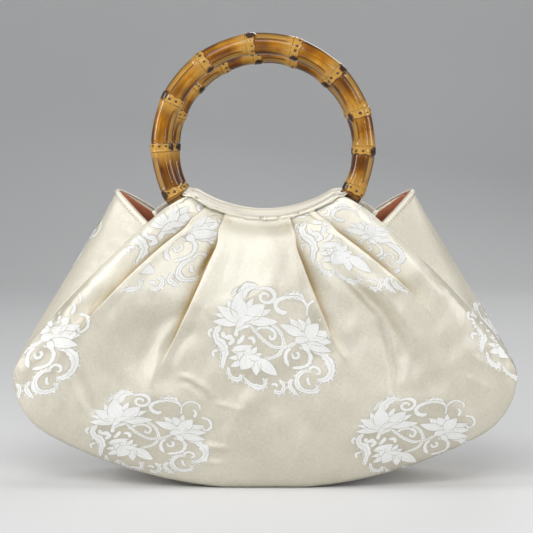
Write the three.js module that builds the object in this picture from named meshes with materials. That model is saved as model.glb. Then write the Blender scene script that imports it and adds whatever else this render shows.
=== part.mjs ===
// A pleated silk evening bag on two bamboo rings, in millimetres, +Z up.
// It stands on its base at z = 0, the front faces -Y, and x = y = 0 is the middle of the bag.
//
// The front and back panels are gathered by knife pleats into a curved casing. Each casing holds the
// lower arc of one bamboo ring. A single gusset strip runs from mouth to mouth, down one side, under
// the bag and up the other, creased outwards along its middle. A satin lining fills the inside.

import * as THREE from "three";

const { lerp, smoothstep, clamp, degToRad } = THREE.MathUtils;

// Driving dimensions

const HALF_WIDTH = 157.5; // from the middle to the rounded lower corners
const BASE_RADIUS = 285; // the long curve of the lower edge
const CORNER_RADIUS = 43;
const SETTLE = 1.2; // how far the loaded base is pressed flat on what it stands on
const MOUTH_SEAM = { x: 73.3, z: 166 }; // top end of a panel's side seam
const MOUTH_CREASE = { x: 94, z: 184 }; // top end of the gusset's middle crease
const GUSSET_WIDTH = 77; // the strip, flat, from seam to seam
const CREASE_LIFT = 1.5; // how far the strip stands out of the seam line at the lower corners

const SILK = 1.8; // padded silk wall
const SATIN = 1; // lining wall
const CASING = 1.2; // casing strip wall
const GAP = 0.35; // between sewn pieces

const RING = { outer: 140, tube: 13.7, x: -1.2, y: 27, z: 214 };
const BACK_RING = { shiftX: 1.8, drop: 4 }; // the back ring sits a little lower and to one side
const NODE_SWELL = 0.55; // how far a bamboo node stands out of the cane
const WAIST = 0.25; // how much the cane thins between nodes

const BAND = { x: 45, dip: 14.2, top: 184, width: 5 }; // the casing's concave upper edge
const TUNNEL_END = degToRad(57); // where a ring leaves its casing, from straight down
const UNDER_LIP = 0.97; // share of the panel's height where the casing's lip begins
const PLEAT_STEP = 0.07; // width of a pleat's step, as a share of the space to the next station
const PLEAT_LIFT = 0.4; // share of a pleat's height that stands out of the smooth form; the rest sinks
const PLEAT_LIFT_REACH = 9; // how far a pleat's raised edge spreads
const PLEAT_OPENING = 0.4; // share of the panel's height over which a pleat opens out
const PLEAT_PRESSED = 0.2; // share of its height that a pleat keeps under the casing's lip

// The front panel hangs from these stations, from the left seam to the right one.
// x, z and depth: its place on the upper edge, depth being how far in front of the middle it is; foot: its
// place on the lower edge as a share of half its length; bow: how far the line swings outwards on its way
// down; bulge: fullness at half height; columns: mesh columns up to the next station.
const STATIONS = [
  { name: "left_seam", columns: 2 },
  { name: "left_tunnel_outer", x: -60.3, z: 176.5, depth: 36.6, foot: -0.96, bow: 5, bulge: 6, columns: 2 },
  { name: "left_tunnel_inner", x: -46.5, z: 182, depth: 36, foot: -0.92, bow: 6, bulge: 9, columns: 3 },
  { name: "left_outer_pleat", x: -34.9, z: 176, depth: 29.4, foot: -0.86, bow: 11, bulge: 14, columns: 4 },
  { name: "left_inner_pleat", x: -23.7, z: 171.4, depth: 26.9, foot: -0.49, bow: 0, bulge: 17, columns: 3 },
  { name: "centre", x: -4.7, z: 168, depth: 26.6, foot: -0.03, bow: 0, bulge: 18, columns: 3 },
  { name: "right_inner_pleat", x: 14.3, z: 169.3, depth: 26.7, foot: 0.405, bow: -1, bulge: 17, columns: 5 },
  { name: "right_outer_pleat", x: 28.7, z: 173.2, depth: 28, foot: 0.85, bow: 12, bulge: 14, columns: 3 },
  { name: "right_tunnel_inner", x: 46.5, z: 182, depth: 36, foot: 0.92, bow: 7, bulge: 9, columns: 2 },
  { name: "right_tunnel_outer", x: 60.3, z: 176.5, depth: 36.6, foot: 0.96, bow: 5, bulge: 6, columns: 2 },
  { name: "right_seam", columns: 0 },
];

// Knife pleats. Each folds away from the middle: the cloth nearer the middle lies on top.
// outward: the side that tucks under; step: height of the fold; release: share of the height where it has
// opened out; reach: how far the hollow beside it spreads.
const PLEATS = [
  { at: "left_outer_pleat", outward: -1, step: 4.6, release: 0.28, reach: 12 },
  { at: "left_inner_pleat", outward: -1, step: 6.2, release: 0.16, reach: 13 },
  { at: "right_inner_pleat", outward: 1, step: 5.8, release: 0.2, reach: 14 },
  { at: "right_outer_pleat", outward: 1, step: 4.4, release: 0.34, reach: 11 },
];

// Soft hollows between the pleats. station: place across, counted in stations from the left; low, high: the
// shares of the height that it spans; sink and half: its depth and half width.
const HOLLOWS = [
  { station: 3.62, low: 0.1, high: 0.62, sink: 2.6, half: 11 },
  { station: 6.5, low: 0.14, high: 0.84, sink: 3.0, half: 9 },
  { station: 5.55, low: 0.02, high: 0.34, sink: 1.2, half: 9 },
];

// Bamboo nodes of a ring, as angles from +X, anticlockwise seen from the front.
const FRONT_NODES = [-103, -78, -51, -26, -3, 18, 44, 71, 97, 125, 153, 181, 207, 232];
const BACK_NODES = [-113, -86, -60, -34, -8, 17, 43, 68, 93, 118, 140, 166, 193, 221];
const NODE_SECTIONS = [-1.9, 0, 1.9]; // cane sections at a node, in degrees from it
const CANE_SIDES = 10;

// Mesh rows up the panel, and along half of the gusset's lower and side parts; columns across the gusset.
const PANEL_ROWS = [
  0, 0.03, 0.08, 0.15, 0.23, 0.31, 0.39, 0.47, 0.55, 0.63, 0.7, 0.76, 0.82, 0.87, 0.91, 0.945, 0.97, 1,
];
const STRIP_BASE = [0.1, 0.22, 0.36, 0.5, 0.64, 0.75, 0.81, 0.87, 0.935, 1];
const STRIP_SIDE = [0.12, 0.26, 0.42, 0.58, 0.74, 0.88, 1];
const GUSSET_ACROSS = [-1, -0.7, -0.35, 0, 0.35, 0.7, 1];

// The bag's outline, seen from the front

// Half of the lower edge, from the middle to the widest point: a long curve and a rounded corner.
// inset moves it inwards, for the walls inside.
function lowerEdge(inset) {
  const turn = Math.asin((HALF_WIDTH - CORNER_RADIUS) / (BASE_RADIUS - CORNER_RADIUS));
  const centreZ = BASE_RADIUS - SETTLE;
  const toCorner = BASE_RADIUS - CORNER_RADIUS;
  const start = -Math.PI / 2;
  const path = new THREE.Path();
  path.absarc(0, centreZ, BASE_RADIUS - inset, start, start + turn, false);
  path.absarc(
    toCorner * Math.sin(turn),
    centreZ - toCorner * Math.cos(turn),
    CORNER_RADIUS - inset,
    start + turn,
    0,
    false,
  );
  return path;
}

const CORNER_Z = lowerEdge(0).getPointAt(1).y;
const SIDE_SEAM = new THREE.CubicBezierCurve(
  new THREE.Vector2(HALF_WIDTH, CORNER_Z),
  new THREE.Vector2(HALF_WIDTH, CORNER_Z + 12),
  new THREE.Vector2(115, 130),
  new THREE.Vector2(MOUTH_SEAM.x, MOUTH_SEAM.z),
);
const SIDE_CREASE = new THREE.CubicBezierCurve(
  new THREE.Vector2(HALF_WIDTH + CREASE_LIFT, CORNER_Z),
  new THREE.Vector2(HALF_WIDTH + CREASE_LIFT, CORNER_Z + 10),
  new THREE.Vector2(135, 116),
  new THREE.Vector2(MOUTH_CREASE.x, MOUTH_CREASE.z),
);

// A point of the lower edge at a signed share of its half length, kept above the floor.
function foot(share, inset) {
  const p = lowerEdge(inset).getPointAt(Math.abs(share));
  return new THREE.Vector2(Math.sign(share) * p.x, Math.max(p.y, inset));
}

// A point of the side seam, v = 0 at the corner and 1 at the mouth.
function seam(side, v, inset) {
  const p = SIDE_SEAM.getPointAt(v);
  const along = SIDE_SEAM.getTangentAt(v);
  return new THREE.Vector2(side * (p.x - along.y * inset), p.y + along.x * inset);
}

// Half of the bag's depth at the side seam: the strip keeps its width, so where its crease stands out
// the seams come closer together.
function seamDepth(v) {
  const out = SIDE_CREASE.getPointAt(v).distanceTo(SIDE_SEAM.getPointAt(v));
  return Math.sqrt((GUSSET_WIDTH / 2) ** 2 - out ** 2);
}

// The panels

// Fullness up the panel: it swells soon above the base, goes steeply over the ring and lies flat under
// the casing's lip.
function fullness(v) {
  const lowerPower = 1.9;
  const upperPower = 2.6;
  const rise = Math.min(v / UNDER_LIP, 1);
  const power = rise < 0.5 ? lowerPower : upperPower;
  return (1 - Math.abs(2 * rise - 1) ** power) ** (1 / power);
}

function stationPoint(station, v, inset) {
  if (station.x === undefined) {
    const p = seam(station.name === "left_seam" ? -1 : 1, v, inset);
    return new THREE.Vector3(p.x, seamDepth(v), p.y);
  }
  const low = foot(station.foot, inset);
  const high = new THREE.Vector2(station.x, station.z);
  const bend = new THREE.Vector2().lerpVectors(low, high, 0.5);
  const outwards = new THREE.Vector2(Math.sign(station.x), 0.6).normalize();
  bend.addScaledVector(outwards, 2 * station.bow);
  const p = new THREE.QuadraticBezierCurve(low, bend, high).getPoint(v);
  const depth = lerp(seamDepth(0), station.depth, v) + station.bulge * fullness(v);
  return new THREE.Vector3(p.x, depth, p.y);
}

const LAST = STATIONS.length - 1;
const stationIndex = (name) => STATIONS.findIndex((station) => station.name === name);

// The share of the lower edge under a place across the panel, counted in stations from the left.
function footShare(place) {
  const shares = STATIONS.map((station, i) => station.foot ?? (i === 0 ? -1 : 1));
  const i = Math.min(Math.floor(place), LAST - 1);
  return lerp(shares[i], shares[i + 1], place - i);
}

// The smooth panel: a function from a place across and a share of the height to a point whose y is the
// depth in front of the bag's middle. Each row is a curve through the stations, drawn on to the true lower
// edge.
function smoothPanel(inset) {
  const rowAt = (v) => {
    const points = STATIONS.map((station) => stationPoint(station, v, inset));
    return new THREE.CatmullRomCurve3(points, false, "centripetal");
  };
  const rows = new Map();
  const lowest = rowAt(0);
  return (place, v) => {
    if (!rows.has(v)) rows.set(v, rowAt(v));
    const p = rows.get(v).getPoint(place / LAST);
    const low = lowest.getPoint(place / LAST);
    const edge = foot(footShare(place), inset);
    const fade = (1 - v) ** 2;
    return p.add(new THREE.Vector3(fade * (edge.x - low.x), 0, fade * (edge.y - low.z)));
  };
}

// How far a point of the panel stands out of the smooth form, from the pleats and hollows.
function relief(smooth, place, v) {
  const x = smooth(place, v).x;
  let out = 0;
  for (const pleat of PLEATS) {
    const at = stationIndex(pleat.at);
    const away = Math.abs(x - smooth(at, v).x);
    const tucked = (place - at) * pleat.outward > PLEAT_STEP / 2;
    const open = smoothstep(v, pleat.release, pleat.release + PLEAT_OPENING);
    const pressed = lerp(1, PLEAT_PRESSED, smoothstep(v, UNDER_LIP - 0.11, UNDER_LIP));
    const height = pleat.step * open * pressed;
    const sunk = (PLEAT_LIFT - 1) * Math.exp(-away / pleat.reach);
    const raised = PLEAT_LIFT * Math.exp(-away / PLEAT_LIFT_REACH);
    out += height * (tucked ? sunk : raised);
  }
  for (const hollow of HOLLOWS) {
    const away = (x - smooth(hollow.station, v).x) / hollow.half;
    const middle = (hollow.low + hollow.high) / 2;
    const along = clamp(1 - Math.abs(v - middle) / (hollow.high - middle), 0, 1);
    out -= hollow.sink * Math.exp(-away * away) * smoothstep(along, 0, 0.8);
  }
  const edge = Math.min(place, LAST - place);
  return out * smoothstep(edge, 0.4, 2.4) * smoothstep(v, 0, 0.12);
}

// The depth of cloth laid over a ring at a point seen from the front, for either ring's place.
function overRing(x, z) {
  const middle = (RING.outer - RING.tube) / 2;
  const reach = RING.tube / 2 + NODE_SWELL + GAP + 1.6 * SILK;
  const places = [
    { x: RING.x, z: RING.z },
    { x: RING.x + BACK_RING.shiftX, z: RING.z - BACK_RING.drop },
  ];
  const depths = places.map((ring) => {
    const off = Math.hypot(x - ring.x, z - ring.z) - middle;
    return Math.abs(off) < reach ? RING.y + Math.sqrt(reach ** 2 - off ** 2) : 0;
  });
  return Math.max(...depths);
}

// Places across the panel: each station's columns, with a pleat's step as two columns close together.
function panelPlaces() {
  const places = [];
  STATIONS.forEach((station, i) => {
    const columns = Math.max(station.columns, 1);
    for (let k = 0; k < columns; k++) places.push(i + k / columns);
    const pleat = PLEATS.find((p) => p.at === station.name);
    if (pleat) places.push(i + pleat.outward * PLEAT_STEP);
  });
  return places.sort((a, b) => a - b);
}

// The outer face of the front panel as rows of points.
function panelFace() {
  const smooth = smoothPanel(0);
  const places = panelPlaces();
  return PANEL_ROWS.map((v) =>
    places.map((place) => {
      const p = smooth(place, v);
      const depth = p.y + relief(smooth, place, v);
      const covered = v < 1 && place > 1 && place < LAST - 1;
      return new THREE.Vector3(p.x, -(covered ? Math.max(depth, overRing(p.x, p.z)) : depth), p.z);
    }),
  );
}

// The gusset

// One stop of the strip on the left (side -1) or right (1): its front seam and crease points and half depth.
function stripLine(side, part, v, inset) {
  if (part === "side") {
    const crease = SIDE_CREASE.getPointAt(v);
    const along = SIDE_CREASE.getTangentAt(v);
    const out = new THREE.Vector2(crease.x - along.y * inset, crease.y + along.x * inset);
    out.x *= side;
    return { seam: seam(side, v, inset), crease: out, depth: seamDepth(v) };
  }
  const low = foot(side * v, inset);
  const drop = CREASE_LIFT * smoothstep(v, 0.35, 1);
  const along = lowerEdge(inset).getTangentAt(v);
  const crease = new THREE.Vector2(low.x + side * along.y * drop, Math.max(low.y - along.x * drop, inset));
  return { seam: low, crease, depth: seamDepth(0) };
}

// Stops along the strip, from the left mouth under the bag to the right mouth.
function stripStops(shorten) {
  const half = [
    ...STRIP_BASE.map((v) => ({ part: "base", v })),
    ...STRIP_SIDE.map((v) => ({ part: "side", v: Math.min(v, 1 - shorten) })),
  ];
  return [
    ...half.toReversed().map((stop) => ({ ...stop, side: -1 })),
    { part: "base", v: 0, side: 1 },
    ...half.map((stop) => ({ ...stop, side: 1 })),
  ];
}

// Points across the strip at one stop, from the front seam over the crease to the back seam.
function stripSection({ part, v, side }, { inset, narrow, across }) {
  const line = stripLine(side, part, v, inset);
  const sharpness = part === "side" ? lerp(2, 1.1, v) : 2;
  return across.map((q) => {
    const out = 1 - Math.abs(q) ** sharpness;
    const p = new THREE.Vector2().lerpVectors(line.seam, line.crease, out);
    return new THREE.Vector3(p.x, q * (line.depth - narrow), p.y);
  });
}

function gussetFace() {
  const form = { inset: 0, narrow: SILK + GAP, across: GUSSET_ACROSS };
  return stripStops(0).map((stop) => stripSection(stop, form));
}

// The lining

const LINING_INSET = SILK + 2 * GAP; // inside the outline
const LINING_BEHIND = 6.8; // behind the panel's smooth face, clear of the pleats' hollows
const LINING_SHORTEN = 0.015; // share of the side that the lining stops below the gusset's hem
const LINING_TOP_RADIUS = 81.5; // its upper edge under a casing, about the ring's middle
const LINING_ACROSS = [-1, 0, 1];
const LINING_UP = [1, 0.78, 0.56, 0.34, 0.14]; // shares of the way from the seam to the upper edge

// The place across the panel above a share of the lower edge.
function placeAbove(share) {
  let low = 0;
  let high = LAST;
  for (let k = 0; k < 30; k++) {
    const middle = (low + high) / 2;
    if (footShare(middle) < share) low = middle;
    else high = middle;
  }
  return (low + high) / 2;
}

// The lining's outer face. Each row starts at the front upper edge, goes down to the front seam, across the
// strip to the back seam, and up to the back upper edge.
function liningFace() {
  const smooth = smoothPanel(LINING_INSET);
  const form = { inset: LINING_INSET, narrow: LINING_BEHIND, across: LINING_ACROSS };
  const endPlace = { mouth: 0.2, corner: 1 }; // where rows from the mouth and the corner end above
  return stripStops(LINING_SHORTEN).map((stop) => {
    const { part, v, side } = stop;
    const onSide = part === "side";
    const fromLeft = onSide
      ? lerp(endPlace.corner, endPlace.mouth, v)
      : lerp(LAST / 2, endPlace.corner, v);
    const edge = { place: side < 0 ? fromLeft : LAST - fromLeft, v: UNDER_LIP };
    const reach = () => Math.hypot(smooth(edge.place, edge.v).x, smooth(edge.place, edge.v).z - RING.z);
    while (reach() < LINING_TOP_RADIUS) edge.v -= 0.01;
    const start = { place: onSide ? (side < 0 ? 0 : LAST) : placeAbove(side * v), v: onSide ? v : 0 };
    const front = LINING_UP.map((share) => {
      const p = smooth(lerp(start.place, edge.place, share), lerp(start.v, edge.v, share));
      return new THREE.Vector3(p.x, LINING_BEHIND - p.y, p.z);
    });
    const back = front.toReversed().map((p) => new THREE.Vector3(p.x, -p.y, p.z));
    return [...front, ...stripSection(stop, form), ...back];
  });
}

// The casings

// Distance from the ring's middle to the casing's upper edge, along a ray at angle a from straight down.
function bandDistance(a) {
  const radius = (BAND.x ** 2 + BAND.dip ** 2) / (2 * BAND.dip);
  const above = BAND.top - BAND.dip + radius - RING.z;
  return -above * Math.cos(a) + Math.sqrt((above * Math.cos(a)) ** 2 + radius ** 2 - above ** 2);
}

// One section of the casing strip: rho is the distance from the ring's middle, depth is measured from the
// bag's middle. It folds over the panel's upper edge, passes behind the ring and turns under it.
function casingSection(a) {
  const end = smoothstep(Math.abs(a) / TUNNEL_END, 0.35, 1);
  const band = bandDistance(a) - 0.7 * end;
  const front = lerp(29.2, 39.4, end);
  const behindRing = RING.y - RING.tube / 2 - NODE_SWELL - GAP - CASING;
  const line = [
    { rho: band + BAND.width, depth: front + 1.2 },
    { rho: band + 0.9, depth: front },
    { rho: band, depth: front - 1.3 },
    { rho: band, depth: lerp(21.6, 20.2, end) },
    { rho: band + 1, depth: lerp(20.4, 19, end) },
    { rho: lerp(54, 57, end), depth: behindRing + 0.4 },
    { rho: 63, depth: behindRing },
    { rho: 72, depth: behindRing },
    { rho: 77, depth: behindRing + 3 },
    { rho: 80, depth: behindRing + 9 },
    { rho: 82.2, depth: lerp(35.4, 26, end) },
  ];
  return line.map(({ rho, depth }) => new THREE.Vector2(rho, depth));
}

function casingFace() {
  const sections = 14;
  const face = [];
  for (let k = 0; k <= sections; k++) {
    const a = lerp(-TUNNEL_END, TUNNEL_END, k / sections);
    face.push(
      casingSection(a).map(({ x: rho, y: depth }) => {
        return new THREE.Vector3(rho * Math.sin(a), -depth, RING.z - rho * Math.cos(a));
      }),
    );
  }
  return face;
}

// The rings

// Cane radius at an angle: it swells at each node and thins a little between them.
function caneRadius(degrees, nodes) {
  const away = Math.min(...nodes.map((node) => Math.abs(((degrees - node + 540) % 360) - 180)));
  return RING.tube / 2 - WAIST * smoothstep(away, 2, 12) + NODE_SWELL * Math.exp(-((away / 1.6) ** 2));
}

function ringGeometry(nodes) {
  const angles = [];
  nodes.forEach((node, i) => {
    NODE_SECTIONS.forEach((offset) => angles.push(node + offset));
    const next = i + 1 < nodes.length ? nodes[i + 1] : nodes[0] + 360;
    angles.push((node + next) / 2);
  });
  const middle = (RING.outer - RING.tube) / 2;
  const positions = angles.flatMap((degrees) => {
    const a = degToRad(degrees);
    const radius = caneRadius(degrees, nodes);
    const section = [];
    for (let k = 0; k < CANE_SIDES; k++) {
      const b = (2 * Math.PI * k) / CANE_SIDES;
      const rho = middle + radius * Math.cos(b);
      section.push(rho * Math.cos(a), radius * Math.sin(b), rho * Math.sin(a));
    }
    return section;
  });
  const index = [];
  const at = (i, k) => (i % angles.length) * CANE_SIDES + (k % CANE_SIDES);
  for (let i = 0; i < angles.length; i++) {
    for (let k = 0; k < CANE_SIDES; k++) {
      index.push(at(i, k), at(i, k + 1), at(i + 1, k), at(i, k + 1), at(i + 1, k + 1), at(i + 1, k));
    }
  }
  const geometry = new THREE.BufferGeometry();
  geometry.setAttribute("position", new THREE.Float32BufferAttribute(positions, 3));
  geometry.setIndex(index);
  return geometry;
}

// Walls from faces

// Unit normals of a face given as rows of points.
function faceNormals(face) {
  const rows = face.length - 1;
  const columns = face[0].length - 1;
  return face.map((row, j) =>
    row.map((_, i) => {
      const across = face[j][Math.min(i + 1, columns)].clone().sub(face[j][Math.max(i - 1, 0)]);
      const up = face[Math.min(j + 1, rows)][i].clone().sub(face[Math.max(j - 1, 0)][i]);
      return across.cross(up).normalize();
    }),
  );
}

// A closed wall between two faces with the same rows and columns. Seen from outside, rows run upwards
// and columns to the right.
function wallBetween(outer, inner) {
  const rows = outer.length;
  const columns = outer[0].length;
  const points = [...outer.flat(), ...inner.flat()];
  const out = (j, i) => j * columns + i;
  const inn = (j, i) => rows * columns + j * columns + i;
  const index = [];
  const quad = (a, b, c, d) => index.push(a, b, c, a, c, d);
  for (let j = 0; j + 1 < rows; j++) {
    for (let i = 0; i + 1 < columns; i++) {
      quad(out(j, i), out(j, i + 1), out(j + 1, i + 1), out(j + 1, i));
      quad(inn(j, i), inn(j + 1, i), inn(j + 1, i + 1), inn(j, i + 1));
    }
    quad(out(j, 0), out(j + 1, 0), inn(j + 1, 0), inn(j, 0));
    quad(out(j + 1, columns - 1), out(j, columns - 1), inn(j, columns - 1), inn(j + 1, columns - 1));
  }
  for (let i = 0; i + 1 < columns; i++) {
    quad(out(0, i + 1), out(0, i), inn(0, i), inn(0, i + 1));
    quad(out(rows - 1, i), out(rows - 1, i + 1), inn(rows - 1, i + 1), inn(rows - 1, i));
  }
  const geometry = new THREE.BufferGeometry();
  geometry.setAttribute("position", new THREE.Float32BufferAttribute(points.flatMap((p) => p.toArray()), 3));
  geometry.setIndex(index);
  return geometry;
}

// A wall of even thickness behind a face.
function wall(face, thickness) {
  const normals = faceNormals(face);
  return wallBetween(
    face,
    face.map((row, j) => row.map((p, i) => p.clone().addScaledVector(normals[j][i], -thickness))),
  );
}

// A wall behind a front face, thickened straight back so that a fold never crosses itself.
// At its rim it has just its thickness, so that it meets its neighbours.
function frontWall(face, thickness) {
  const normals = faceNormals(face);
  const back = face.map((row, j) =>
    row.map((p, i) => {
      const rim = j % (face.length - 1) === 0 || i % (row.length - 1) === 0;
      const slope = rim ? 1 : clamp(Math.abs(normals[j][i].y), 0.6, 1);
      return new THREE.Vector3(p.x, p.y + thickness / slope, p.z);
    }),
  );
  return wallBetween(face, back);
}

// The same geometry on the other side of the bag's middle plane, faces still pointing out.
function mirrored(geometry) {
  const copy = geometry.clone().scale(1, -1, 1);
  const index = copy.index.array;
  for (let k = 0; k < index.length; k += 3) [index[k + 1], index[k + 2]] = [index[k + 2], index[k + 1]];
  return copy;
}

// The assembly

const SILK_IVORY = new THREE.MeshStandardMaterial({ name: "silk", color: 0xe6e0cf, roughness: 0.45 });
const BAMBOO = new THREE.MeshStandardMaterial({ name: "bamboo", color: 0xad712a, roughness: 0.25 });
const TERRACOTTA = new THREE.MeshStandardMaterial({ name: "satin", color: 0x8a4a36, roughness: 0.5 });

const bag = new THREE.Group();
bag.name = "silk_bag";

function add(name, geometry, material) {
  const mesh = new THREE.Mesh(geometry, material);
  mesh.name = name;
  bag.add(mesh);
  return mesh;
}

const frontPanel = frontWall(panelFace(), SILK);
add("front_panel", frontPanel, SILK_IVORY);
add("back_panel", mirrored(frontPanel), SILK_IVORY);

add("gusset", wall(gussetFace(), SILK), SILK_IVORY);
add("lining", wall(liningFace(), SATIN), TERRACOTTA);

const frontCasing = wall(casingFace(), CASING);
add("front_casing", frontCasing, SILK_IVORY);
add("back_casing", mirrored(frontCasing), SILK_IVORY);

const frontRing = add("front_ring", ringGeometry(FRONT_NODES), BAMBOO);
frontRing.position.set(RING.x, -RING.y, RING.z);
const backRing = add("back_ring", ringGeometry(BACK_NODES), BAMBOO);
backRing.position.set(RING.x + BACK_RING.shiftX, RING.y, RING.z - BACK_RING.drop);

export default bag;
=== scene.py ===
# %% [markdown]
# # A pleated silk evening bag on two bamboo rings
# The bag is two silk panels gathered by knife pleats, a strip of the same silk that runs down one side,
# under the bag and up the other, a terracotta satin lining, and two bamboo rings held in sewn bands.
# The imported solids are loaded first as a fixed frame. Every cloth piece below follows the same outline
# and stands in for its solid, with the folds, weave and stitches that a solid doesn't carry.

# %% The fixed frame
import functools
import math
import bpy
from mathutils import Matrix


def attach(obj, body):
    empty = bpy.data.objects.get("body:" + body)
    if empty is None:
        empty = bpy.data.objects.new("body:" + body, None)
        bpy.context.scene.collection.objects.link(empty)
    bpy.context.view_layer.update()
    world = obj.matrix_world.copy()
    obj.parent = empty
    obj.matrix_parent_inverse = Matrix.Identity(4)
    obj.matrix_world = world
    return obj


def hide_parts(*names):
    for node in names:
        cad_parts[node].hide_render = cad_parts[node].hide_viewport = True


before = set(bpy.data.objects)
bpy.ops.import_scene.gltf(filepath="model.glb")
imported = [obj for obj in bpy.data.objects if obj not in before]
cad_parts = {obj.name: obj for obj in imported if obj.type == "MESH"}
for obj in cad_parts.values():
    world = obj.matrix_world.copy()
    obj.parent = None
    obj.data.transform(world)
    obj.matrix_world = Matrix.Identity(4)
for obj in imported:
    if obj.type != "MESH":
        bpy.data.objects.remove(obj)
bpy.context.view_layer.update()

from types import SimpleNamespace

import bpy
import numpy as np
from mathutils import Vector
from mathutils.bvhtree import BVHTree

MM = 0.001  # shapes are worked out in millimetres, and meshes are made in metres
print("pieces in the frame:", ", ".join(sorted(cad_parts)))

# %% [markdown]
# ## Small helpers
# A sewn bag is made of soft steps and blends rather than corners, so four helpers are used all through:
# a soft step, a blend between two values, a soft bump, and a vector brought to length one. They work on
# whole grids of numbers at once, which is much quicker than a loop over points.

# %% Soft steps and blends


def ease(value, low, high):
    """0 below low, 1 above high, with a soft step between them."""
    t = np.clip((np.asarray(value, float) - low) / (high - low), 0, 1)
    return t * t * (3 - 2 * t)


def mix(a, b, t):
    return a + (b - a) * t


def bell(away, reach):
    """A soft bump: 1 at the middle, and next to nothing at twice its reach."""
    return np.exp(-((away / reach) ** 2))


def unit(vectors):
    return vectors / np.maximum(np.linalg.norm(vectors, axis=-1, keepdims=True), 1e-9)


# %% [markdown]
# ## The bag's outline
# Seen from the front, the lower edge is one long curve with a rounded corner at each end, and each side
# seam climbs from the corner to the mouth. The gusset's crease runs outside the seam. A pattern cutter
# measures along these lines, so points are found by a share of their length.

# %% Lower edge, side seam and crease
HALF_WIDTH = 157.5
BASE_RADIUS = 285
CORNER_RADIUS = 43
SETTLE = 1.2  # how far the base is pressed flat on the table
GUSSET_WIDTH = 77
CREASE_LIFT = 1.5
SILK = 1.8  # padded silk in the frame
GAP = 0.35

ARM = BASE_RADIUS - CORNER_RADIUS
TURN = math.asin((HALF_WIDTH - CORNER_RADIUS) / ARM)


def lower_edge(share, inset=0.0):
    """Points (x, z) of the lower edge at signed shares of its half length."""
    share = np.asarray(share, float)
    long_radius = BASE_RADIUS - inset
    corner_radius = CORNER_RADIUS - inset
    long_arc = long_radius * TURN
    along = np.abs(share) * (long_arc + corner_radius * (math.pi / 2 - TURN))
    a = np.minimum(along, long_arc) / long_radius
    b = TURN + np.maximum(along - long_arc, 0) / corner_radius
    turned = along > long_arc
    x = np.where(turned, ARM * math.sin(TURN) + corner_radius * np.sin(b), long_radius * np.sin(a))
    drop = np.where(turned, ARM * math.cos(TURN) + corner_radius * np.cos(b), long_radius * np.cos(a))
    return np.stack([np.sign(share) * x, np.maximum(BASE_RADIUS - SETTLE - drop, inset)], -1)


CORNER_Z = float(lower_edge(1.0)[1])
SIDE_SEAM = [(HALF_WIDTH, CORNER_Z), (HALF_WIDTH, CORNER_Z + 12), (115, 130), (73.3, 166)]
SIDE_CREASE = [
    (HALF_WIDTH + CREASE_LIFT, CORNER_Z),
    (HALF_WIDTH + CREASE_LIFT, CORNER_Z + 10),
    (135, 116),
    (94, 184),
]


def run_along(line):
    """Distances along a line of points, from its first one."""
    return np.r_[0, np.cumsum(np.linalg.norm(np.diff(line, axis=0), axis=1))]


def along_curve(corners, share):
    """Points at shares of the length of a Bezier curve with four corners."""
    t = np.linspace(0, 1, 401)[:, None]
    p = np.array(corners, float)
    line = (1 - t) ** 3 * p[0] + 3 * (1 - t) ** 2 * t * p[1] + 3 * (1 - t) * t**2 * p[2] + t**3 * p[3]
    run = run_along(line)
    at = np.asarray(share, float) * run[-1]
    return np.stack([np.interp(at, run, line[:, 0]), np.interp(at, run, line[:, 1])], -1)


def side_line(corners, v, inset=0.0):
    """A side curve of the right-hand side, moved inwards by an inset."""
    step = 0.002
    ahead = along_curve(corners, np.minimum(v + step, 1)) - along_curve(corners, np.maximum(v - step, 0))
    tangent = unit(ahead)
    return along_curve(corners, v) + inset * np.stack([-tangent[..., 1], tangent[..., 0]], -1)


def seam_depth(v):
    """Half of the bag's depth at the side seam: the strip keeps its width as its crease stands out."""
    out = np.linalg.norm(along_curve(SIDE_CREASE, v) - along_curve(SIDE_SEAM, v), axis=-1)
    return np.sqrt((GUSSET_WIDTH / 2) ** 2 - out**2)


print(f"lower corners at x = {HALF_WIDTH} mm, z = {CORNER_Z:.1f} mm")

# %% [markdown]
# ## The hang of a panel
# A gathered panel hangs from the band in lines that fan out to the lower edge. Each line is a station:
# where it starts on the band, where its foot is, and how far it swells forward. The cloth between them
# is one smooth curve through the stations, row by row, as a lofted surface.

# %% Stations of the front panel
STATIONS = [
    # name, x, z, depth: place on the upper edge; foot: share of the lower edge; bow: swing outwards; bulge
    ("left_tunnel_outer", -60.3, 176.5, 36.6, -0.96, 5, 6),
    ("left_tunnel_inner", -46.5, 182, 36, -0.92, 6, 9),
    ("left_outer_pleat", -34.9, 176, 29.4, -0.86, 11, 14),
    ("left_inner_pleat", -23.7, 171.4, 26.9, -0.49, 0, 17),
    ("centre", -4.7, 168, 26.6, -0.03, 0, 18),
    ("right_inner_pleat", 14.3, 169.3, 26.7, 0.405, -1, 17),
    ("right_outer_pleat", 28.7, 173.2, 28, 0.85, 12, 14),
    ("right_tunnel_inner", 46.5, 182, 36, 0.92, 7, 9),
    ("right_tunnel_outer", 60.3, 176.5, 36.6, 0.96, 5, 6),
]
LAST = len(STATIONS) + 1  # the seams are stations too, the first and the last
FEET = [-1.0, *(row[4] for row in STATIONS), 1.0]
UNDER_LIP = 0.97  # share of the height where the band's lip begins


def fullness(v):
    """The panel swells soon above the base, goes steeply over the ring and lies flat under the lip."""
    rise = np.minimum(v / UNDER_LIP, 1)
    power = np.where(rise < 0.5, 1.9, 2.35)
    return np.maximum(1 - np.abs(2 * rise - 1) ** power, 0) ** (1 / power)


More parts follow.
